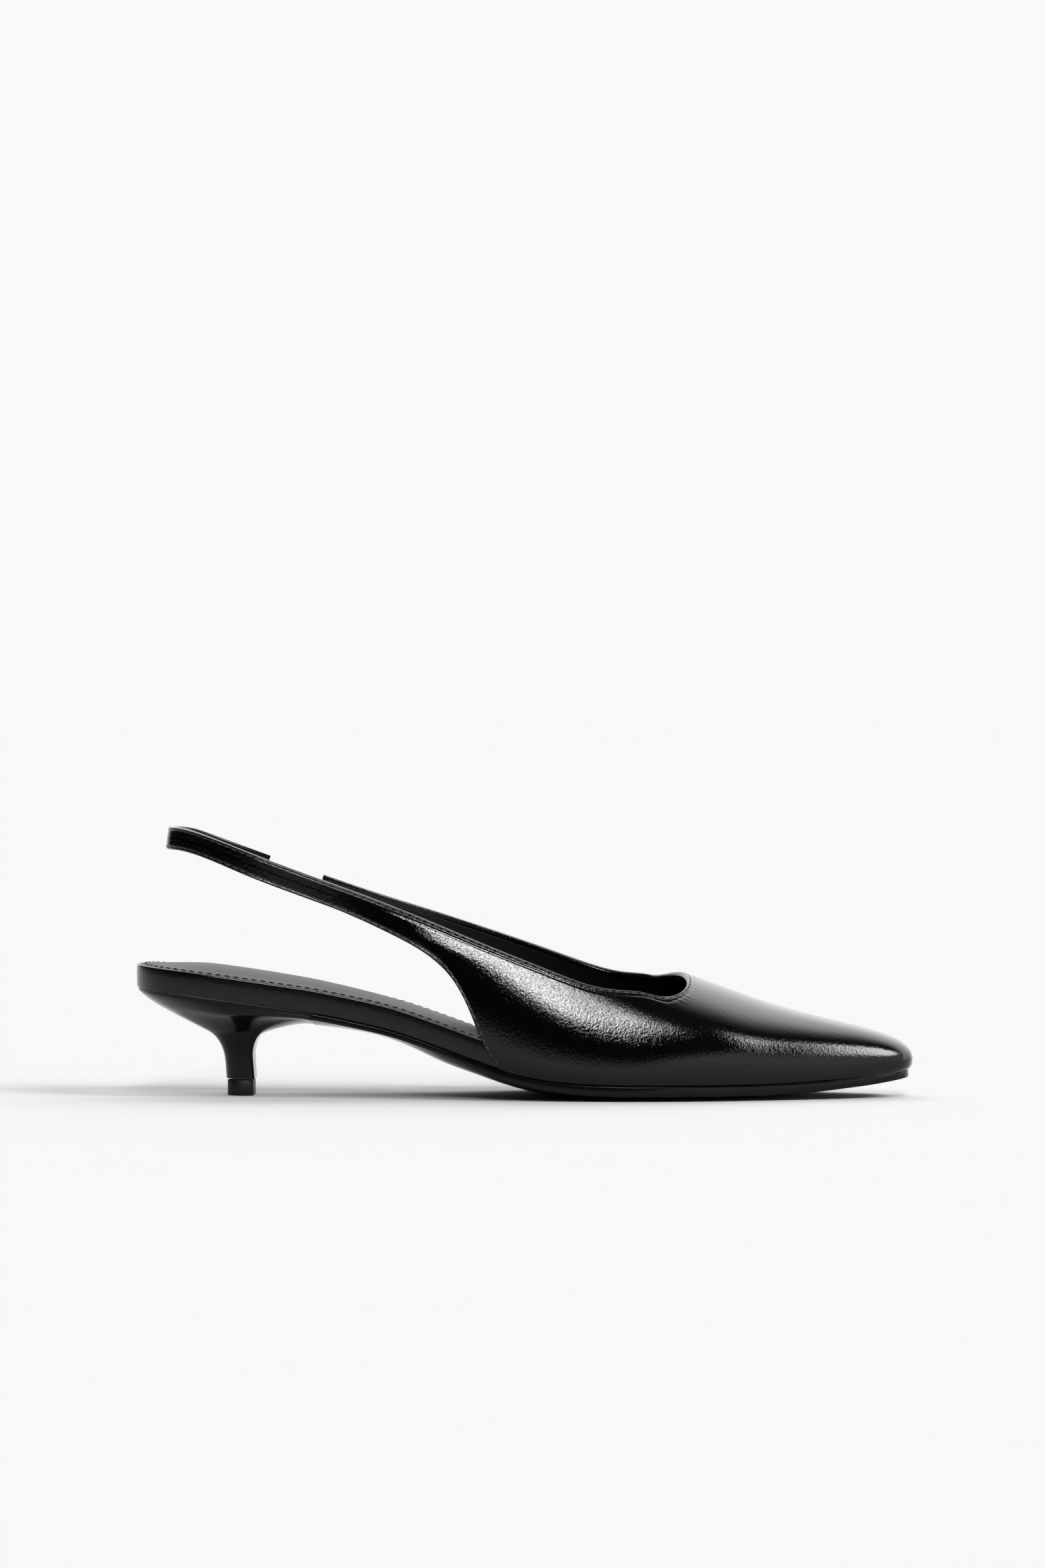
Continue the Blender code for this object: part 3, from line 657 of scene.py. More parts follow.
def to_mesh(name, grid):
    """An object through a grid of closed sections, with open ends filled."""
    grid = np.concatenate((grid, grid[:, :1]), axis=1)
    made = bmesh.new()
    bmesh.ops.create_grid(made, x_segments=grid.shape[1] - 1, y_segments=grid.shape[0] - 1, size=1)
    made.verts.ensure_lookup_table()
    for vertex, point in zip(made.verts, grid.reshape(-1, 3)):
        vertex.co = point
    bmesh.ops.remove_doubles(made, verts=made.verts, dist=MERGE)
    edges = [edge for edge in made.edges if edge.is_boundary]
    if edges:
        bmesh.ops.holes_fill(made, edges=edges)
    bmesh.ops.recalc_face_normals(made, faces=made.faces)
    return finish(name, made)


def finish(name, made):
    """Makes a millimetre bmesh into an object of the frame."""
    bmesh.ops.translate(made, vec=(-SHOE_LENGTH / 2, 0, 0), verts=made.verts)
    bmesh.ops.transform(made, matrix=Matrix.Scale(MM, 4), verts=made.verts)
    mesh = bpy.data.meshes.new(name)
    made.to_mesh(mesh)
    made.free()
    piece = bpy.data.objects.new(name, mesh)
    bpy.context.scene.collection.objects.link(piece)
    mesh.shade_smooth()
    mesh.set_sharp_from_angle(angle=math.radians(50))
    return piece


def dress(piece, look, slot, *nodes):
    """Gives a piece its material and its body, and hides the frame's nodes that it stands for. The slot
    is not used.
    """
    piece.data.materials.append(look)
    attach(piece, "root")
    if nodes:
        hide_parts(*nodes)


def spread(*parts):
    """Joins rows of places or depths, each as wide as the sheet, into one section."""
    return np.concatenate(parts, axis=1)


def fill(first, second, count):
    """Even places between the end of one row of places and the start of the next."""
    return mix(first[:, -1:], second[:, :1], np.linspace(0, 1, count)[None, 1:-1])


def leather_section(sheet, top_ditch, low_ditch):
    """The leather's closed section on every column: its face, the folds over both edges, its back."""
    distance = EDGE_ZONE * np.linspace(0, 1, EDGE_ROWS) ** 1.3
    top = sheet.from_top(distance)
    low = sheet.from_low(distance)[:, ::-1]
    face = spread(top, fill(top, low, MIDDLE_ROWS + 2), low)
    on_quarter = ease(sheet.points[:, :1, 0], QUARTER_TOP, QUARTER_TOP + 25)
    ditch = top_ditch * mix(0.6, 1.0, on_quarter)
    depth = edge_depth(sheet.top_distance(face), ditch, TOP_FOLD * on_quarter)
    depth += edge_depth(sheet.low_distance(face), low_ditch, 0.0)
    depth += pull_wrinkles(sheet, face) + quarter_swell(sheet, face)
    low_fold = sheet.from_low(FOLD)
    top_fold = sheet.from_top(FOLD)[:, ::-1]
    back = fill(low_fold, top_fold, 12)
    wide = np.ones((len(sheet.points), 1))
    behind = np.full(back.shape, LEATHER_WALL)
    depths = spread(depth, wide * FOLD_DEPTH, behind, wide * FOLD_DEPTH[::-1])
    return sheet.at(spread(face, low_fold, back, top_fold), depths)[0]


def lining_section(sheet):
    """The lining's closed section: a thin layer inside the leather, below the folded edges."""
    inside = UPPER_WALL - LINING_STEP
    outside = LEATHER_WALL + 0.05
    start = FOLD_IN + np.array((0.1, 0.12, 0.3, 0.7))
    start_depth = np.array((mix(outside, inside, 0.4), mix(outside, inside, 0.75), inside, inside))
    top = sheet.from_top(start)
    low = sheet.from_low(start)[:, ::-1]
    middle = fill(top, low, 44)
    back = mix(low[:, -1:], top[:, :1], np.linspace(0, 1, 10)[None, :])
    wide = np.ones((len(sheet.points), 1))
    depths = spread(wide * start_depth, np.full(middle.shape, inside), wide * start_depth[::-1],
                    np.full(back.shape, outside))
    return sheet.at(spread(top, middle, low, back), depths)[0]


def seam_path(sheet, columns, from_edge, ditch):
    """The points and normals of a stitch row on some columns, in the ditch along an edge."""
    places = from_edge(np.array([DITCH_PLACE]))
    points, normals = sheet.at(places, np.full(places.shape, ditch * STITCH_SINK))
    return points[columns, 0], normals[columns, 0]


def stitch_row(made, points, normals, thread):
    """Adds the stitches of one row, each a short sunk thread, evenly spaced along a line."""
    along = arc(points)
    unit_stitch = bmesh.new()
    bmesh.ops.create_uvsphere(unit_stitch, u_segments=8, v_segments=6, radius=1)
    bmesh.ops.rotate(unit_stitch, verts=unit_stitch.verts, matrix=Matrix.Rotation(math.pi / 2, 3, "Y"))
    placed = bpy.data.meshes.new("stitch")
    count = int((along[-1] - thread.length) / thread.pitch)
    for i in range(count + 1):
        middle = thread.length / 2 + i * (along[-1] - thread.length) / max(count, 1)
        ends = (middle - thread.length / 2, middle, middle + thread.length / 2)
        start, centre, end = (
            Vector([float(np.interp(spot, along, points[:, k])) for k in range(3)]) for spot in ends
        )
        up = Vector([float(np.interp(middle, along, normals[:, k])) for k in range(3)]).normalized()
        ahead = (end - start).normalized()
        across = up.cross(ahead).normalized()
        up = ahead.cross(across)
        turn = Matrix((ahead, across, up)).transposed().to_4x4()
        shape = Matrix.Diagonal((thread.length / 2, thread.width / 2, thread.width / 2 * 0.8, 1.0))
        stitch = unit_stitch.copy()
        place = Matrix.Translation(centre) @ turn @ shape
        bmesh.ops.transform(stitch, matrix=place, verts=stitch.verts)
        stitch.to_mesh(placed)
        stitch.free()
        made.from_mesh(placed)
    unit_stitch.free()
    bpy.data.meshes.remove(placed)


Thread = namedtuple("Thread", "length width pitch")
SOCK_THREAD = Thread(length=1.8, width=0.56, pitch=2.9)


class Wire:
    """A socket of a node tree that can be used in sums."""

    def __init__(self, nodes, socket):
        self.nodes = nodes
        self.socket = socket

    def maths(self, operation, first, second):
        return self.nodes.node("ShaderNodeMath", {"operation": operation}, {0: first, 1: second})

    def __add__(self, other):
        return self.maths("ADD", self, other)

    def __sub__(self, other):
        return self.maths("SUBTRACT", self, other)

    def __rsub__(self, other):
        return self.maths("SUBTRACT", other, self)

    def __mul__(self, other):
        return self.maths("MULTIPLY", self, other)

    def __truediv__(self, other):
        return self.maths("DIVIDE", self, other)

    __radd__ = __add__


class Nodes:
    """A node tree and short ways to fill it."""

    def __init__(self, tree):
        self.tree = tree

    def node(self, kind, settings=None, inputs=None, output=0):
        """Adds a node: its settings first, then the values or links of its sockets."""
        made = self.tree.nodes.new(kind)
        for key, value in (settings or {}).items():
            setattr(made, key, value)
        for key, value in (inputs or {}).items():
            self.feed(made.inputs[key], value)
        return Wire(self, made.outputs[output])

    def feed(self, socket, value):
        if isinstance(value, Wire):
            self.tree.links.new(value.socket, socket)
        else:
            socket.default_value = value

    def axes(self, vector):
        """The three parts of a vector."""
        first = self.node("ShaderNodeSeparateXYZ", None, {"Vector": vector})
        return [Wire(self, socket) for socket in first.socket.node.outputs]

    def rise(self, value, low, high):
        """A smooth step from zero at low to one at high."""
        inputs = {"Value": value, "From Min": low, "From Max": high}
        return self.node("ShaderNodeMapRange", {"interpolation_type": "SMOOTHSTEP"}, inputs)

    def ramp(self, value, stops):
        """A smooth grey ramp through pairs of a place and a height, both from zero to one."""
        made = self.tree.nodes.new("ShaderNodeValToRGB")
        made.color_ramp.interpolation = "EASE"
        while len(made.color_ramp.elements) < len(stops):
            made.color_ramp.elements.new(1.0)
        for element, (place, height) in zip(made.color_ramp.elements, stops):
            element.position = place
            element.color = (height, height, height, 1.0)
        self.feed(made.inputs["Fac"], value)
        return Wire(self, made.outputs["Color"])

    def blend(self, low, high, share):
        """A colour between two."""
        made = self.tree.nodes.new("ShaderNodeMix")
        made.data_type = "RGBA"
        self.feed(made.inputs["Factor"], share)
        for socket, colour in (("A", low), ("B", high)):
            wanted = [each for each in made.inputs if each.name == socket and each.type == "RGBA"][0]
            wanted.default_value = (*colour, 1.0)
        return Wire(self, [each for each in made.outputs if each.type == "RGBA"][0])


class Shade(Nodes):
    """A material's nodes."""

    def __init__(self, name):
        self.material = bpy.data.materials.new(name)
        self.material.use_nodes = True
        super().__init__(self.material.node_tree)
        self.shader = self.tree.nodes["Principled BSDF"]

    def set(self, **values):
        """Feeds the shader's sockets, named with underscores for spaces."""
        for key, value in values.items():
            self.feed(self.shader.inputs[key.replace("_", " ")], value)

    def texture(self, size):
        """The inputs of a texture on the object with features about a size in millimetres wide."""
        return {"Vector": self.node("ShaderNodeTexCoord", output="Object"), "Scale": 1 / (size * MM)}

    def noise(self, size, detail=2.0, roughness=0.5):
        inputs = {**self.texture(size), "Detail": detail, "Roughness": roughness}
        return self.node("ShaderNodeTexNoise", None, inputs, "Fac")

    def cells(self, size):
        """Distance from the middle of rounded cells."""
        settings = {"feature": "SMOOTH_F1"}
        return self.node("ShaderNodeTexVoronoi", settings, self.texture(size), "Distance")

    def bump(self, height, distance):
        """A normal bent by a height of zero to one, over a distance in millimetres."""
        return self.node("ShaderNodeBump", None, {"Height": height, "Distance": distance * MM})


def leather_look(name, colour, light, gloss, grain, relief, polish):
    """Grained leather: its dark and light colour, its roughness, the size and height of its grain."""
    shade = Shade(name)
    pebbles = shade.cells(grain)
    fine = shade.noise(grain * 0.8, 1.5)
    crinkle = shade.noise(grain * 2.6)
    broad = shade.noise(14.0)
    shade.set(
        Base_Color=shade.blend(colour, light, pebbles * 0.7 + broad * 0.3),
        Roughness=gloss - 0.03 + broad * 0.04 + fine * 0.03,
        Normal=shade.bump(pebbles * 0.35 + fine * 0.8 + crinkle * 1.7, relief),
        IOR=polish,
    )
    return shade.material


def plain_look(name, colour, roughness, uneven, size, relief, polish):
    """A smooth moulded or lacquered finish with a slight unevenness."""
    shade = Shade(name)
    soft = shade.noise(size, 3.0, 0.55)
    fine = shade.noise(size * 0.12)
    lighter = tuple(channel * (1 + uneven) + 0.001 for channel in colour)
    shade.set(
        Base_Color=shade.blend(colour, lighter, soft),
        Roughness=roughness - 0.03 + soft * 0.06,
        Normal=shade.bump(soft + fine * 0.3, relief),
        IOR=polish,
    )
    return shade.material


def thread_look(name, colour, polish):
    """Twisted thread, a little glossy."""
    shade = Shade(name)
    twist = shade.noise(0.25, 2.0, 0.6)
    shade.set(
        Base_Color=shade.blend(colour, tuple(channel * 1.8 for channel in colour), twist),
        Roughness=0.36 + twist * 0.2,
        Normal=shade.bump(twist, 0.05),
        IOR=polish,
    )
    return shade.material


def plate_places(inset, count, start):
    """Places along the board at an inset, closer together where an end is round."""
    if start is None:
        share = (1 - np.cos(np.linspace(0, math.pi, count + 1))) / 2
    else:
        share = np.sin(np.linspace(0, math.pi / 2, count + 1))
    x = mix((start or 0.0) + inset, BOARD_END - inset, share)
    x[-1] = BOARD_END - inset
    return x


def plate_grid(profile, count=PLATE_COLUMNS, start=None, grow=None):
    """Rings round a plate. Each row of the profile gives an inset from the side, a share of the width
    that is left and a function of the height. A plate with a start is cut there and grows outward."""
    rings = []
    for inset, share, height in profile:
        ring = []
        for side in (LATERAL, MEDIAL):
            x = plate_places(inset, count, start)
            wide = 0.0
            if start is not None:
                wide = grow(x)
                x = mix(x[0], x[-1] + float(wide[-1]), (x - x[0]) / (x[-1] - x[0]))
            y = side * share * half_width(x, side, wide - inset)
            points = np.column_stack((x, y, height(x, share)))
            if start is not None:
                cut = np.linspace(0, 1, 9)[:-1, None]
                points = np.concatenate((mix(points[0] * (1, 0, 1), points[0], cut), points))
                points[:9, 2] = height(points[:9, 0], share * cut_share(points[:9, 1], points[8, 1]))
            ring.append(points if side == LATERAL else points[::-1][1:-1])
        rings.append(np.concatenate(ring))
    return np.array(rings)


def cut_share(y, edge):
    return np.abs(y) / max(abs(edge), 1e-9)


def bed_depth(x):
    """Thickness of the footbed, full at the heel and the waist and thin under the ball."""
    return mix(FOOTBED_DEPTH, FOREPART_DEPTH, ease(x, QUARTER_FOOT, QUARTER_FOOT + 0.16 * SHOE_LENGTH))


def bed_top(x):
    """Height of the footbed's rim."""
    return ride(x) + GAP / 2 + bed_depth(x)


def sock_pad(x, share):
    """Extra thickness of the padded heel of the sock."""
    along = ease(x, 0, HEEL_BLEND) * (1 - ease(x, 0.6 * HEEL_LIP, QUARTER_FOOT))
    return SOCK_PAD * along * (1 - share ** 2)


def rounding(radius, count, rising):
    """Insets and drops along a quarter round, from the flat to the side or back down to the flat."""
    angles = np.linspace(0, math.pi / 2, count)
    if rising:
        angles = angles[::-1]
    return [(radius * (1 - math.sin(angle)), radius * (1 - math.cos(angle))) for angle in angles]


def raised(base, rise):
    """The height of a plate's row: a height along the shoe and a rise over it."""
    return lambda x, share: base(x) + rise


def bed_side(part):
    """The height of a row on the footbed's side, a part of the way down."""
    return lambda x, share: mix(bed_top(x), ride(x), part)


# The footbed's section
BED_LOW_ROUND = 0.5
BED_SWELL = 0.06
RIM_INSIDE = RIM_WIDTH + 0.1

# The sock's section: where its edge and its stitches lie, and how they pull it down
SOCK_EDGE = RIM_WIDTH + GAP * 0.5
SOCK_STITCHES = SOCK_EDGE + 1.5
SOCK_DITCH = 0.1
SOCK_DITCH_HALF = 0.45
SOCK_FALL = 0.42
SOCK_FALL_WIDTH = 2.6
SOCK_ROUND = 0.22
SOCK_STEPS = (4.5, 3.8, 3.2, 2.8, 2.4, 2.1, 1.9, 1.7, 1.5, 1.3, 1.1, 0.9, 0.7)


def footbed_profile(rim_round):
    """The footbed's section: its rim round the sock, its wrapped side and its flat underside."""
    floor = raised(bed_top, -SOCK_RECESS)
    profile = [(RIM_INSIDE, share, floor) for share in (0.0, 0.5, 0.95, 1.0)]
    profile.append((RIM_WIDTH + 0.05, 1.0, raised(bed_top, -0.08)))
    profile += [(inset, 1.0, raised(bed_top, -drop)) for inset, drop in rounding(rim_round, 9, False)]
    profile += [(-BED_SWELL, 1.0, bed_side(part)) for part in (0.35, 0.65)]
    for inset, rise in rounding(BED_LOW_ROUND, 6, True):
        profile.append((inset, 1.0, raised(ride, GAP / 2 + rise)))
    profile += [(BED_LOW_ROUND, share, raised(ride, GAP / 2)) for share in (0.9, 0.5, 0.0)]
    return profile


def sock_profile():
    """The sock's section: rounded at the edge, pulled in along its stitches and padded inside them."""
    middle = SOCK_EDGE + SOCK_STEPS[0]
    bottom = raised(bed_top, 0.1 - SOCK_RECESS)

    def top(inset, drop=0.0):
        dip = SOCK_DITCH * math.exp(-((inset - SOCK_STITCHES) / SOCK_DITCH_HALF) ** 2)
        dip += SOCK_FALL * (1 - float(ease(inset, SOCK_EDGE, SOCK_EDGE + SOCK_FALL_WIDTH)))
        padded = float(ease(inset, SOCK_STITCHES - 0.5, SOCK_STITCHES + 2))

        def height(x, share):
            return bottom(x, share) + SOCK_DEPTH + 0.2 + sock_pad(x, share) * padded - dip - drop
        return height

    profile = [(middle, share, top(middle)) for share in (0.0, 0.12, 0.25, 0.4, 0.55, 0.7, 0.85)]
    profile += [(SOCK_EDGE + step, 1.0, top(SOCK_EDGE + step)) for step in SOCK_STEPS]
    for inset, drop in rounding(SOCK_ROUND, 6, False):
        profile.append((SOCK_EDGE + inset, 1.0, top(SOCK_EDGE, drop)))
    profile += [(SOCK_EDGE + 0.02, 1.0, bottom), (SOCK_EDGE + 0.6, 1.0, bottom)]
    profile += [(middle, share, bottom) for share in (0.7, 0.35, 0.0)]
    return profile


def sole_grow(x):
    """How far the outsole's edge stands outside the board: past the wrap, then past the upper."""
    forepart = GAP + UPPER_WALL + SOLE_STEP - SOLE_TOE_TUCK * ease(x, 0.88 * SHOE_LENGTH, SHOE_LENGTH)
    return mix(SOLE_STEP, forepart, ease(x, QUARTER_FOOT - 14, QUARTER_FOOT + 2))


def sole_bottom(x, share):
    edge = ride(x) - GAP / 2 - SOLE_EDGE * curve(SOLE_EDGES, "edge", x / SHOE_LENGTH)
    middle = np.minimum(underside(x), edge)
    outward = np.maximum((np.abs(share) - TREAD_FLAT) / (1 - TREAD_FLAT), 0.0)
    return mix(middle, edge, outward ** 2)


def sole_profile():
    """The outsole's section: its flat top, its rounded edge and its crowned underside."""
    def low(rise):
        return lambda x, share: sole_bottom(x, share) + rise

    profile = [(3.0, share, raised(ride, -GAP / 2)) for share in (0.0, 0.5, 1.0)]
    for inset, drop in rounding(0.2, 6, False):
        profile.append((inset + 0.1, 1.0, raised(ride, -GAP / 2 - drop)))
    profile += [(inset, 1.0, low(rise)) for inset, rise in rounding(0.4, 6, True)]
    profile += [(0.5, share, low(0.0)) for share in np.linspace(0.975, 0.0, 26)]
    return profile


def heel_ring(height):
    """The heel's section at a share of its height: round behind, flat in front, with cut corners."""
    names = ("back", "front", "width", "tilt", "curve")
    shares = [float(curve(HEEL_ROWS, name, height, "height")) for name in names]
    back, front, width, tilt, rounded = shares
    back *= HEEL_LIP
    front *= HEEL_LIP
    half = width * SEAT_WIDTH / 2
    cut = HEEL_CHAMFER * (1 - 0.6 * height)
    length = (front - cut - back) * rounded
    power = 2 / SEAT_SQUARE
    plan = [(front, y) for y in np.linspace(0, half - cut, 9)]
    for a in np.linspace(0, math.pi / 4, 4)[1:]:
        plan.append((front - HEEL_EDGE * (1 - math.cos(a)), half - cut + HEEL_EDGE * math.sin(a)))
    plan += [(x, half) for x in np.linspace(front - cut, back + length, 14)]
    for a in np.linspace(math.pi / 2, 0, HEEL_TURNS)[1:]:
        plan.append((back + length - length * math.cos(a) ** power, half * math.sin(a) ** power))
    plan += [(x, -y) for x, y in plan[-2:0:-1]]
    points = np.array([(x, y, 0.0) for x, y in plan])
    seat = HEEL_HEIGHT - GAP / 2
    arch = LIP_CROWN * (points[:, 1] / half) ** 2 * ease(points[:, 0], mix(back, front, 0.4), front)
    sloped = ride(points[:, 0]) - GAP / 2 - (1 - height) * seat * (1 - arch)
    points[:, 2] = mix(height * seat, sloped, tilt)
    return points


def millimetres(name, text, default, low, high):
    """A size in millimetres that the panel shows."""
    return bpy.props.FloatProperty(
        name=name, description=text + ", in millimetres", default=default, min=low, max=high)


def tint(name, text, default):
    """A colour that the panel shows."""
    return bpy.props.FloatVectorProperty(name=name, description=text, subtype="COLOR", default=default)


class ShoeSizes(bpy.types.PropertyGroup):
    """Sizes of the finish that a user would change."""

    thread_pitch: millimetres(
        "Stitch pitch", "Distance from stitch to stitch along the edges", 2.7, 1.0, 6.0)
    thread_length: millimetres("Stitch length", "Length of one stitch", 2.1, 0.5, 5.0)
    thread_width: millimetres("Thread", "Thickness of the thread", 0.5, 0.2, 1.5)
    top_ditch: millimetres(
        "Topline ditch", "Depth that the stitches pull into the topline", 0.36, 0.0, 0.8)
    rear_ditch: millimetres(
        "Rear ditch", "Depth that the stitches pull into the rear edges", 0.2, 0.0, 0.8)
    rim_round: millimetres("Rim rounding", "Radius of the footbed's upper edge", 0.55, 0.2, 0.98)
    grain: millimetres("Grain", "Width of the leather's pebbles", 0.34, 0.2, 3.0)


class ShoeColours(bpy.types.PropertyGroup):
    """Colours of the finish."""

    leather: tint("Leather", "Colour of the upper", (0.0003, 0.0003, 0.00035))
    lining: tint("Lining", "Colour of the lining", (0.0022, 0.0017, 0.0014))
    sock: tint("Sock", "Colour of the sock", (0.006, 0.006, 0.0063))
    thread: tint("Thread", "Colour of the stitches", (0.004, 0.004, 0.0044))


class SHOE_OT_upper(bpy.types.Operator):
    """Makes the leather of the vamp, the quarters and the sling, its lining and its edge stitches"""

    bl_idname = "shoe.upper"
    bl_label = "Upper"

    def execute(self, context):
        sizes = context.scene.shoe_sizes
        colours = context.scene.shoe_colours
        sheet = make_sheet()
        leather = to_mesh("upper_leather", leather_section(sheet, sizes.top_ditch, sizes.rear_ditch))
        look = leather_look("glossy_leather", colours.leather, light=(0.0009, 0.0009, 0.001),
                            gloss=0.06, grain=sizes.grain, relief=0.027, polish=POLISH)
        dress(leather, look, "upper_leather", "upper")
        thin = UpperSheet(sheet.points[::2], sheet.low_sine[::2], sheet.low_extra[::2])
        lining = to_mesh("upper_lining", lining_section(thin))
        look = leather_look("lining_leather", colours.lining, light=(0.0045, 0.0035, 0.003), gloss=0.55,
                            grain=0.5, relief=0.02, polish=1.3)
        dress(lining, look, "sock_leather")
        made = bmesh.new()
        thread = Thread(sizes.thread_length, sizes.thread_width, sizes.thread_pitch)
        everywhere = np.arange(1, len(sheet.points) - 1)
        stitch_row(made, *seam_path(sheet, everywhere, sheet.from_top, sizes.top_ditch), thread)
        open_low = sheet.low_extra < REAR_REACH
        runs = np.flatnonzero(np.diff(open_low.astype(int)))
        for run in (np.arange(1, runs[0] + 1), np.arange(runs[1] + 1, len(sheet.points) - 1)):
            stitch_row(made, *seam_path(sheet, run, sheet.from_low, sizes.rear_ditch), thread)
        stitches = finish("edge_stitches", made)
        dress(stitches, thread_look("black_thread", colours.thread, 1.55), "upper_leather")
        return {"FINISHED"}


class SHOE_OT_elastic(bpy.types.Operator):
    """Makes the ribbed elastic between the sling and the inner quarter"""

    bl_idname = "shoe.elastic"
    bl_label = "Elastic"

    def execute(self, context):
        x = np.linspace(ELASTIC_BACK + 0.05, ELASTIC_BACK + ELASTIC_LENGTH - 0.05, 60)
        low_x, low_z = strap_low(x, MEDIAL)
        top_y = np.where(x < STRAP_STRAIGHT, strap_plan_y(x), strap_half(x, topline(x, MEDIAL), MEDIAL))
        low_y = np.where(low_x < STRAP_STRAIGHT, strap_plan_y(low_x), strap_half(low_x, low_z, MEDIAL))
        top = np.column_stack((x, top_y - UPPER_WALL / 2, topline(x, MEDIAL)))
        low = np.column_stack((low_x, low_y - UPPER_WALL / 2, low_z))
        start = ELASTIC_DROP / STRAP_WIDTH
        share = np.linspace(0, 1, 65)
        rib = RIB_HEIGHT * np.cos(share * math.pi * 2 * RIBS)
        thin = ELASTIC_WALL / 2 * np.clip(np.sin(share * math.pi) * 6, 0.25, 1.0)
        outer = np.concatenate((share, share[::-1]))
        ribbed = thin - 0.1 + rib
        wall = np.concatenate((ribbed, -ribbed[::-1]))
        places = start + outer * ELASTIC_WIDTH / STRAP_WIDTH
        grid = mix(top[:, None, :], low[:, None, :], places[None, :, None])
        grid = grid + wall[None, :, None] * np.array((0.0, 1.0, 0.0))
        shade = Shade("black_elastic")
        weave = shade.noise(0.35, 2.0, 0.6)
        shade.set(
            Base_Color=shade.blend((0.005, 0.005, 0.005), (0.012, 0.012, 0.012), weave),
            Roughness=0.6 + weave * 0.2,
            Normal=shade.bump(weave, 0.08),
        )
        dress(to_mesh("elastic_insert", grid), shade.material, "elastic", "elastic_band")
        return {"FINISHED"}


class SHOE_OT_footbed(bpy.types.Operator):
    """Makes the leather wrapped footbed and the stitched sock on it"""

    bl_idname = "shoe.footbed"
    bl_label = "Footbed and sock"

    def execute(self, context):
        sizes = context.scene.shoe_sizes
        colours = context.scene.shoe_colours
        bed = to_mesh("wrapped_footbed", plate_grid(footbed_profile(sizes.rim_round)))
        look = leather_look("wrap_leather", (0.0004, 0.0004, 0.00045), light=(0.001, 0.001, 0.0011),
                            gloss=0.16, grain=0.7, relief=0.012, polish=POLISH)
        dress(bed, look, "wrap_leather", "footbed")
        sock = to_mesh("sock", plate_grid(sock_profile()))
        look = leather_look("sock_leather", colours.sock, light=(0.012, 0.012, 0.0125), gloss=0.46,
                            grain=0.4, relief=0.07, polish=1.25)
        dress(sock, look, "sock_leather", "insole")
        made = bmesh.new()
        surface = raised(bed_top, SOCK_DEPTH + 0.16 - SOCK_RECESS)
        ring = plate_grid([(SOCK_STITCHES, 1.0, surface)], 400)[0]
        ring = np.concatenate((ring, ring[:1]))
        stitch_row(made, ring, np.tile((0.0, 0.0, 1.0), (len(ring), 1)), SOCK_THREAD)
        look = thread_look("sock_thread", (0.001, 0.001, 0.0011), 1.2)
        dress(finish("sock_stitches", made), look, "sock_leather")
        return {"FINISHED"}


class SHOE_OT_outsole(bpy.types.Operator):
    """Makes the outsole with its rounded edge and crowned underside"""

    bl_idname = "shoe.outsole"
    bl_label = "Outsole"

    def execute(self, context):
        rings = plate_grid(sole_profile(), start=HEEL_LIP + GAP, grow=sole_grow)
        look = plain_look("sole_finish", (0.0012, 0.0011, 0.0011), roughness=0.15, uneven=0.4, size=6.0,
                          relief=0.01, polish=1.25)
        dress(to_mesh("outsole_finished", rings), look, "outsole", "outsole")
        return {"FINISHED"}


class SHOE_OT_heel(bpy.types.Operator):
    """Makes the lacquered heel and its top piece"""

    bl_idname = "shoe.heel"
    bl_label = "Heel"

    def execute(self, context):
        heights = np.concatenate((np.linspace(HEEL_ROWS["height"][0], 0.99, 64), (0.995, 1.0)))
        rings = np.array([heel_ring(height) for height in heights])
        look = plain_look("heel_lacquer", (0.0006, 0.0006, 0.0007), roughness=0.1, uneven=0.5, size=5.0,
                          relief=0.01, polish=1.27)
        dress(to_mesh("heel_body", rings), look, "heel_gloss", "heel")
        back, front = (HEEL_ROWS[end][0] * HEEL_LIP for end in ("back", "front"))
        middle = np.array(((back + front) / 2, 0.0))
        top = TOP_PIECE_HEIGHT - GAP
        rows = []
        for z, step in TIP_LOW_ROWS + tuple((top - drop, step) for drop, step in TIP_HIGH_ROWS):
            row = rings[0].copy()
            row[:, :2] = middle + (row[:, :2] - middle) * (1 - step / ((front - back) / 2))
            row[:, 2] = z
            rows.append(row)
        look = plain_look("top_piece_rubber", (0.002, 0.002, 0.002), roughness=0.5, uneven=0.3,
                          size=2.0, relief=0.02, polish=1.35)
        dress(to_mesh("heel_tip", np.array(rows)), look, "top_piece_rubber", "top_piece")
        return {"FINISHED"}


class SHOE_OT_stage(bpy.types.Operator):
    """Makes the pale floor, the studio round the shoe and the camera"""

    bl_idname = "shoe.stage"
    bl_label = "Stage"

    def execute(self, context):
        made = bmesh.new()
        bmesh.ops.create_grid(made, x_segments=2, y_segments=2, size=FLOOR_HALF)
        mesh = bpy.data.meshes.new("studio_floor")
        made.to_mesh(mesh)
        made.free()
        floor = bpy.data.objects.new("studio_floor", mesh)
        context.scene.collection.objects.link(floor)
        shade = Shade("pale_paper")
        soft = shade.noise(60.0)
        shade.set(
            Base_Color=shade.blend((FLOOR_TONE,) * 3, (FLOOR_TONE * 1.01,) * 3, soft),
            Roughness=0.9,
            Specular_IOR_Level=0.0,
        )
        mesh.materials.append(shade.material)
        add_camera()
        context.scene.world = studio_world()
        context.scene.view_settings.view_transform = "Standard"
        return {"FINISHED"}


FLOOR_HALF = 30.0
FLOOR_TONE = 0.445
BACKDROP = 0.947

# The studio's light, as the radiance of soft boxes and of the walls round the shoe
LEFT_BOX = 80.0
RIGHT_BOX = 22.0
SIDE_BOARD = 1.25
DARK_ROOM = 0.025
CEILING = 3.5

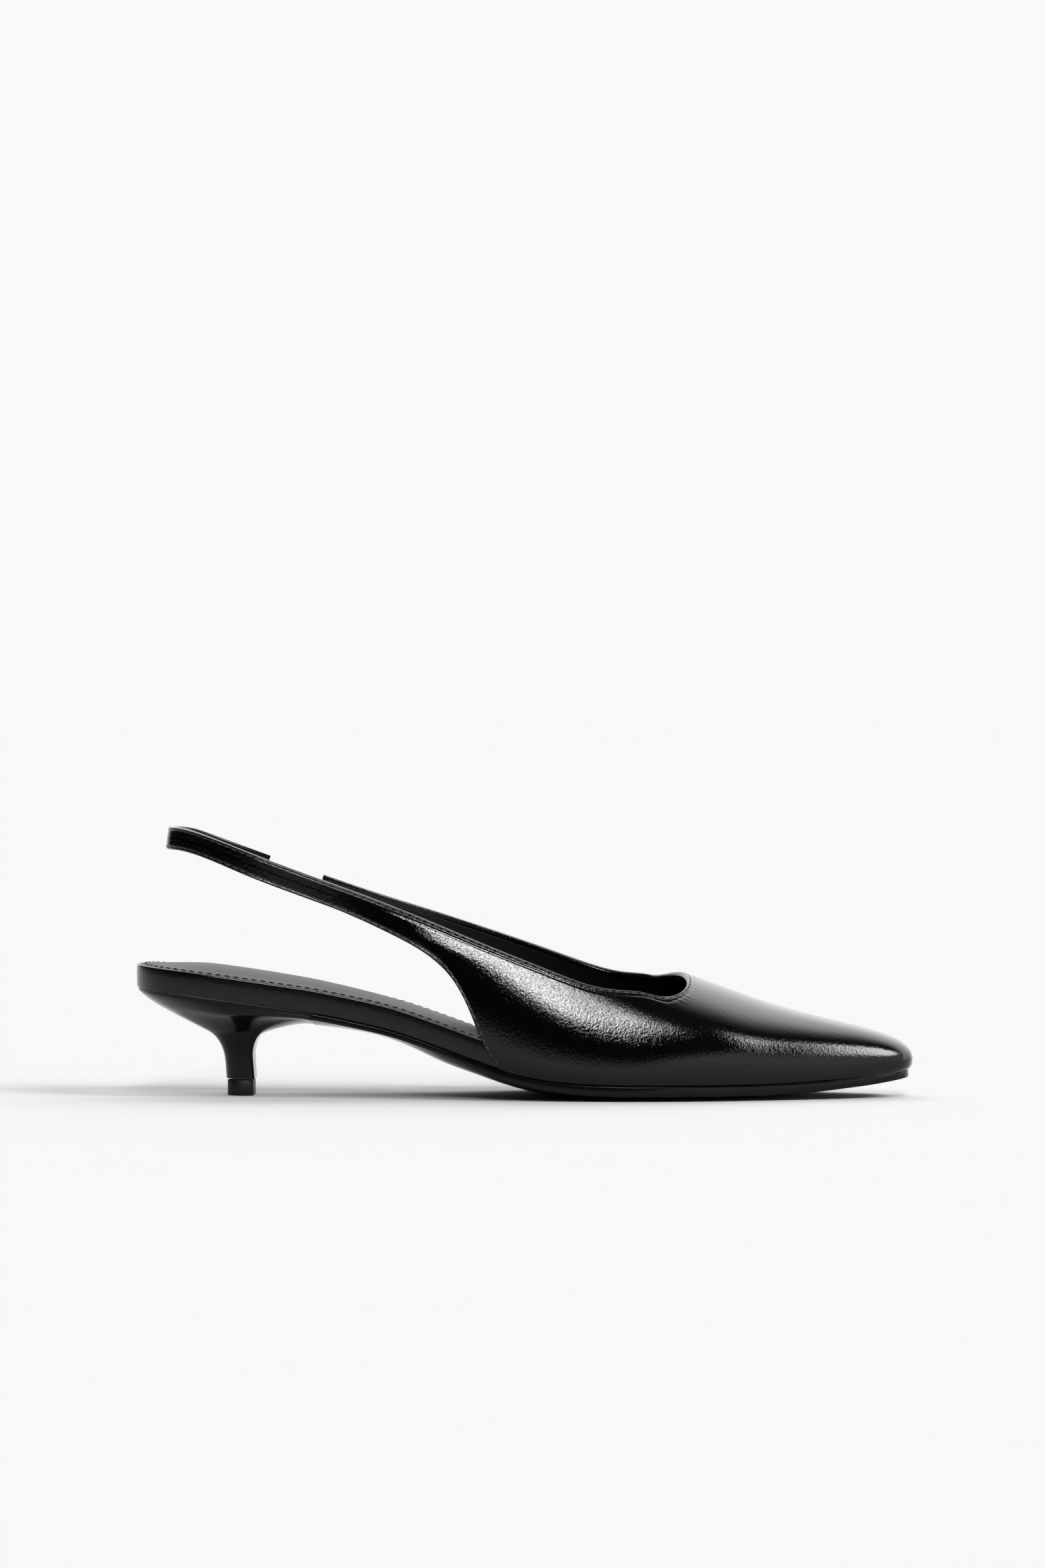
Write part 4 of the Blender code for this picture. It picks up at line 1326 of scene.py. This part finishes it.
# From straight ahead of the shoe's outer side, over the top and down behind it: a turn in degrees and
# the share of the ceiling's radiance
CEILING_STOPS = (
    (0, 0.0), (88, 0.02), (93, 0.09), (99, 0.25), (105, 0.46), (111, 0.71), (117, 0.91), (124, 1.0),
    (130, 0.97), (141, 0.81), (153, 0.66), (165, 0.46), (174, 0.33), (180, 0.27),
)

# The borders of the soft boxes, on a level plane above the shoe. A direction meets the plane at a place
# across and a place ahead, in shares of its height. Each row gives how much of ahead is added to
# across, or None for ahead alone, and the places where the light is out and where it is full.
LEFT_BORDERS = (
    (None, 0.55, 0.85), (None, 2.1, 1.85), (0.0, -0.5, -0.42),
    (0.331, 0.47, 0.53), (0.218, 0.478, 0.445), (0.071, 0.40, 0.37),
)
RIGHT_BORDERS = ((None, 0.3, 0.4), (None, 1.4, 1.2), (-0.847, 0.26, 0.32), (0.0, 2.0, 1.8))


def soft_box(nodes, across, ahead, borders):
    """The light of a soft box: one inside all of its borders and zero outside."""
    light = 1.0
    for slope, dark, full in borders:
        place = ahead if slope is None else across + ahead * slope
        light = nodes.rise(place, dark, full) * light
    return light


def studio_world():
    """A dark room with two soft boxes in front, a board at the toe and a bright ceiling behind."""
    world = bpy.data.worlds.new("studio")
    world.use_nodes = True
    nodes = Nodes(world.node_tree)
    x, y, z = nodes.axes(nodes.node("ShaderNodeTexCoord", output="Generated"))
    front = y * -1
    turn = z.maths("ARCTAN2", z, front) / math.pi
    ceiling = nodes.ramp(turn, [(place / 180, height) for place, height in CEILING_STOPS]) * CEILING
    ceiling = ceiling * nodes.rise(x, -0.75, -0.45)
    height = z.maths("MAXIMUM", z, 0.02)
    left = soft_box(nodes, x / height, front / height, LEFT_BORDERS)
    right = soft_box(nodes, x / height, front / height, RIGHT_BORDERS)
    board = nodes.rise(x - front * 0.1 - z * 1.15, -0.03, 0.04) * nodes.rise(front, -0.1, 0.1)
    light = ceiling + left * LEFT_BOX + right * RIGHT_BOX + board * SIDE_BOARD + DARK_ROOM
    seen = nodes.node("ShaderNodeLightPath", output="Is Camera Ray")
    background = world.node_tree.nodes["Background"]
    background.inputs["Color"].default_value = (1.0, 1.0, 1.0, 1.0)
    nodes.feed(background.inputs["Strength"], light * (1 - seen) + seen * BACKDROP)
    return world


# The camera: far and low, a little towards the toe, seeing the outer side
CAMERA_DISTANCE = 2.162
CAMERA_HEIGHT = 0.131
CAMERA_PITCH = math.radians(0.794)
CAMERA_TURN = math.radians(2.2)
CAMERA_LENS = 153.06
CAMERA_SENSOR = 36.0
CAMERA_YAW = math.atan(3.2 / 10000)


def add_camera():
    camera = bpy.data.cameras.new("camera")
    camera.sensor_fit = "VERTICAL"
    camera.sensor_height = CAMERA_SENSOR
    camera.lens = CAMERA_LENS
    camera.clip_end = 100.0
    made = bpy.data.objects.new("camera", camera)
    flat = Vector((math.sin(CAMERA_TURN), -math.cos(CAMERA_TURN))) * CAMERA_DISTANCE
    made.location = (*flat, CAMERA_HEIGHT)
    made.rotation_euler = (math.pi / 2 - CAMERA_PITCH, 0.0, CAMERA_TURN + CAMERA_YAW)
    bpy.context.scene.collection.objects.link(made)
    bpy.context.scene.camera = made


class SHOE_PT_panel(bpy.types.Panel):
    """Lists the shoe's sizes and the buttons that make its pieces"""

    bl_idname = "SHOE_PT_panel"
    bl_label = "Slingback Pump"
    bl_space_type = "VIEW_3D"
    bl_region_type = "UI"
    bl_category = "Shoe"

    def draw(self, context):
        for group in (context.scene.shoe_sizes, context.scene.shoe_colours):
            for name in group.__annotations__:
                self.layout.prop(group, name)
        for operator in OPERATORS:
            self.layout.operator(operator.bl_idname)


OPERATORS = (
    SHOE_OT_upper, SHOE_OT_elastic, SHOE_OT_footbed, SHOE_OT_outsole, SHOE_OT_heel, SHOE_OT_stage,
)
CLASSES = (ShoeSizes, ShoeColours, *OPERATORS, SHOE_PT_panel)


def register():
    for each in CLASSES:
        bpy.utils.register_class(each)
    bpy.types.Scene.shoe_sizes = bpy.props.PointerProperty(type=ShoeSizes)
    bpy.types.Scene.shoe_colours = bpy.props.PointerProperty(type=ShoeColours)


def unregister():
    del bpy.types.Scene.shoe_colours
    del bpy.types.Scene.shoe_sizes
    for each in reversed(CLASSES):
        bpy.utils.unregister_class(each)


def main():
    register()
    bpy.ops.shoe.upper()
    bpy.ops.shoe.elastic()
    bpy.ops.shoe.footbed()
    bpy.ops.shoe.outsole()
    bpy.ops.shoe.heel()
    bpy.ops.shoe.stage()


if __name__ == "__main__":
    main()
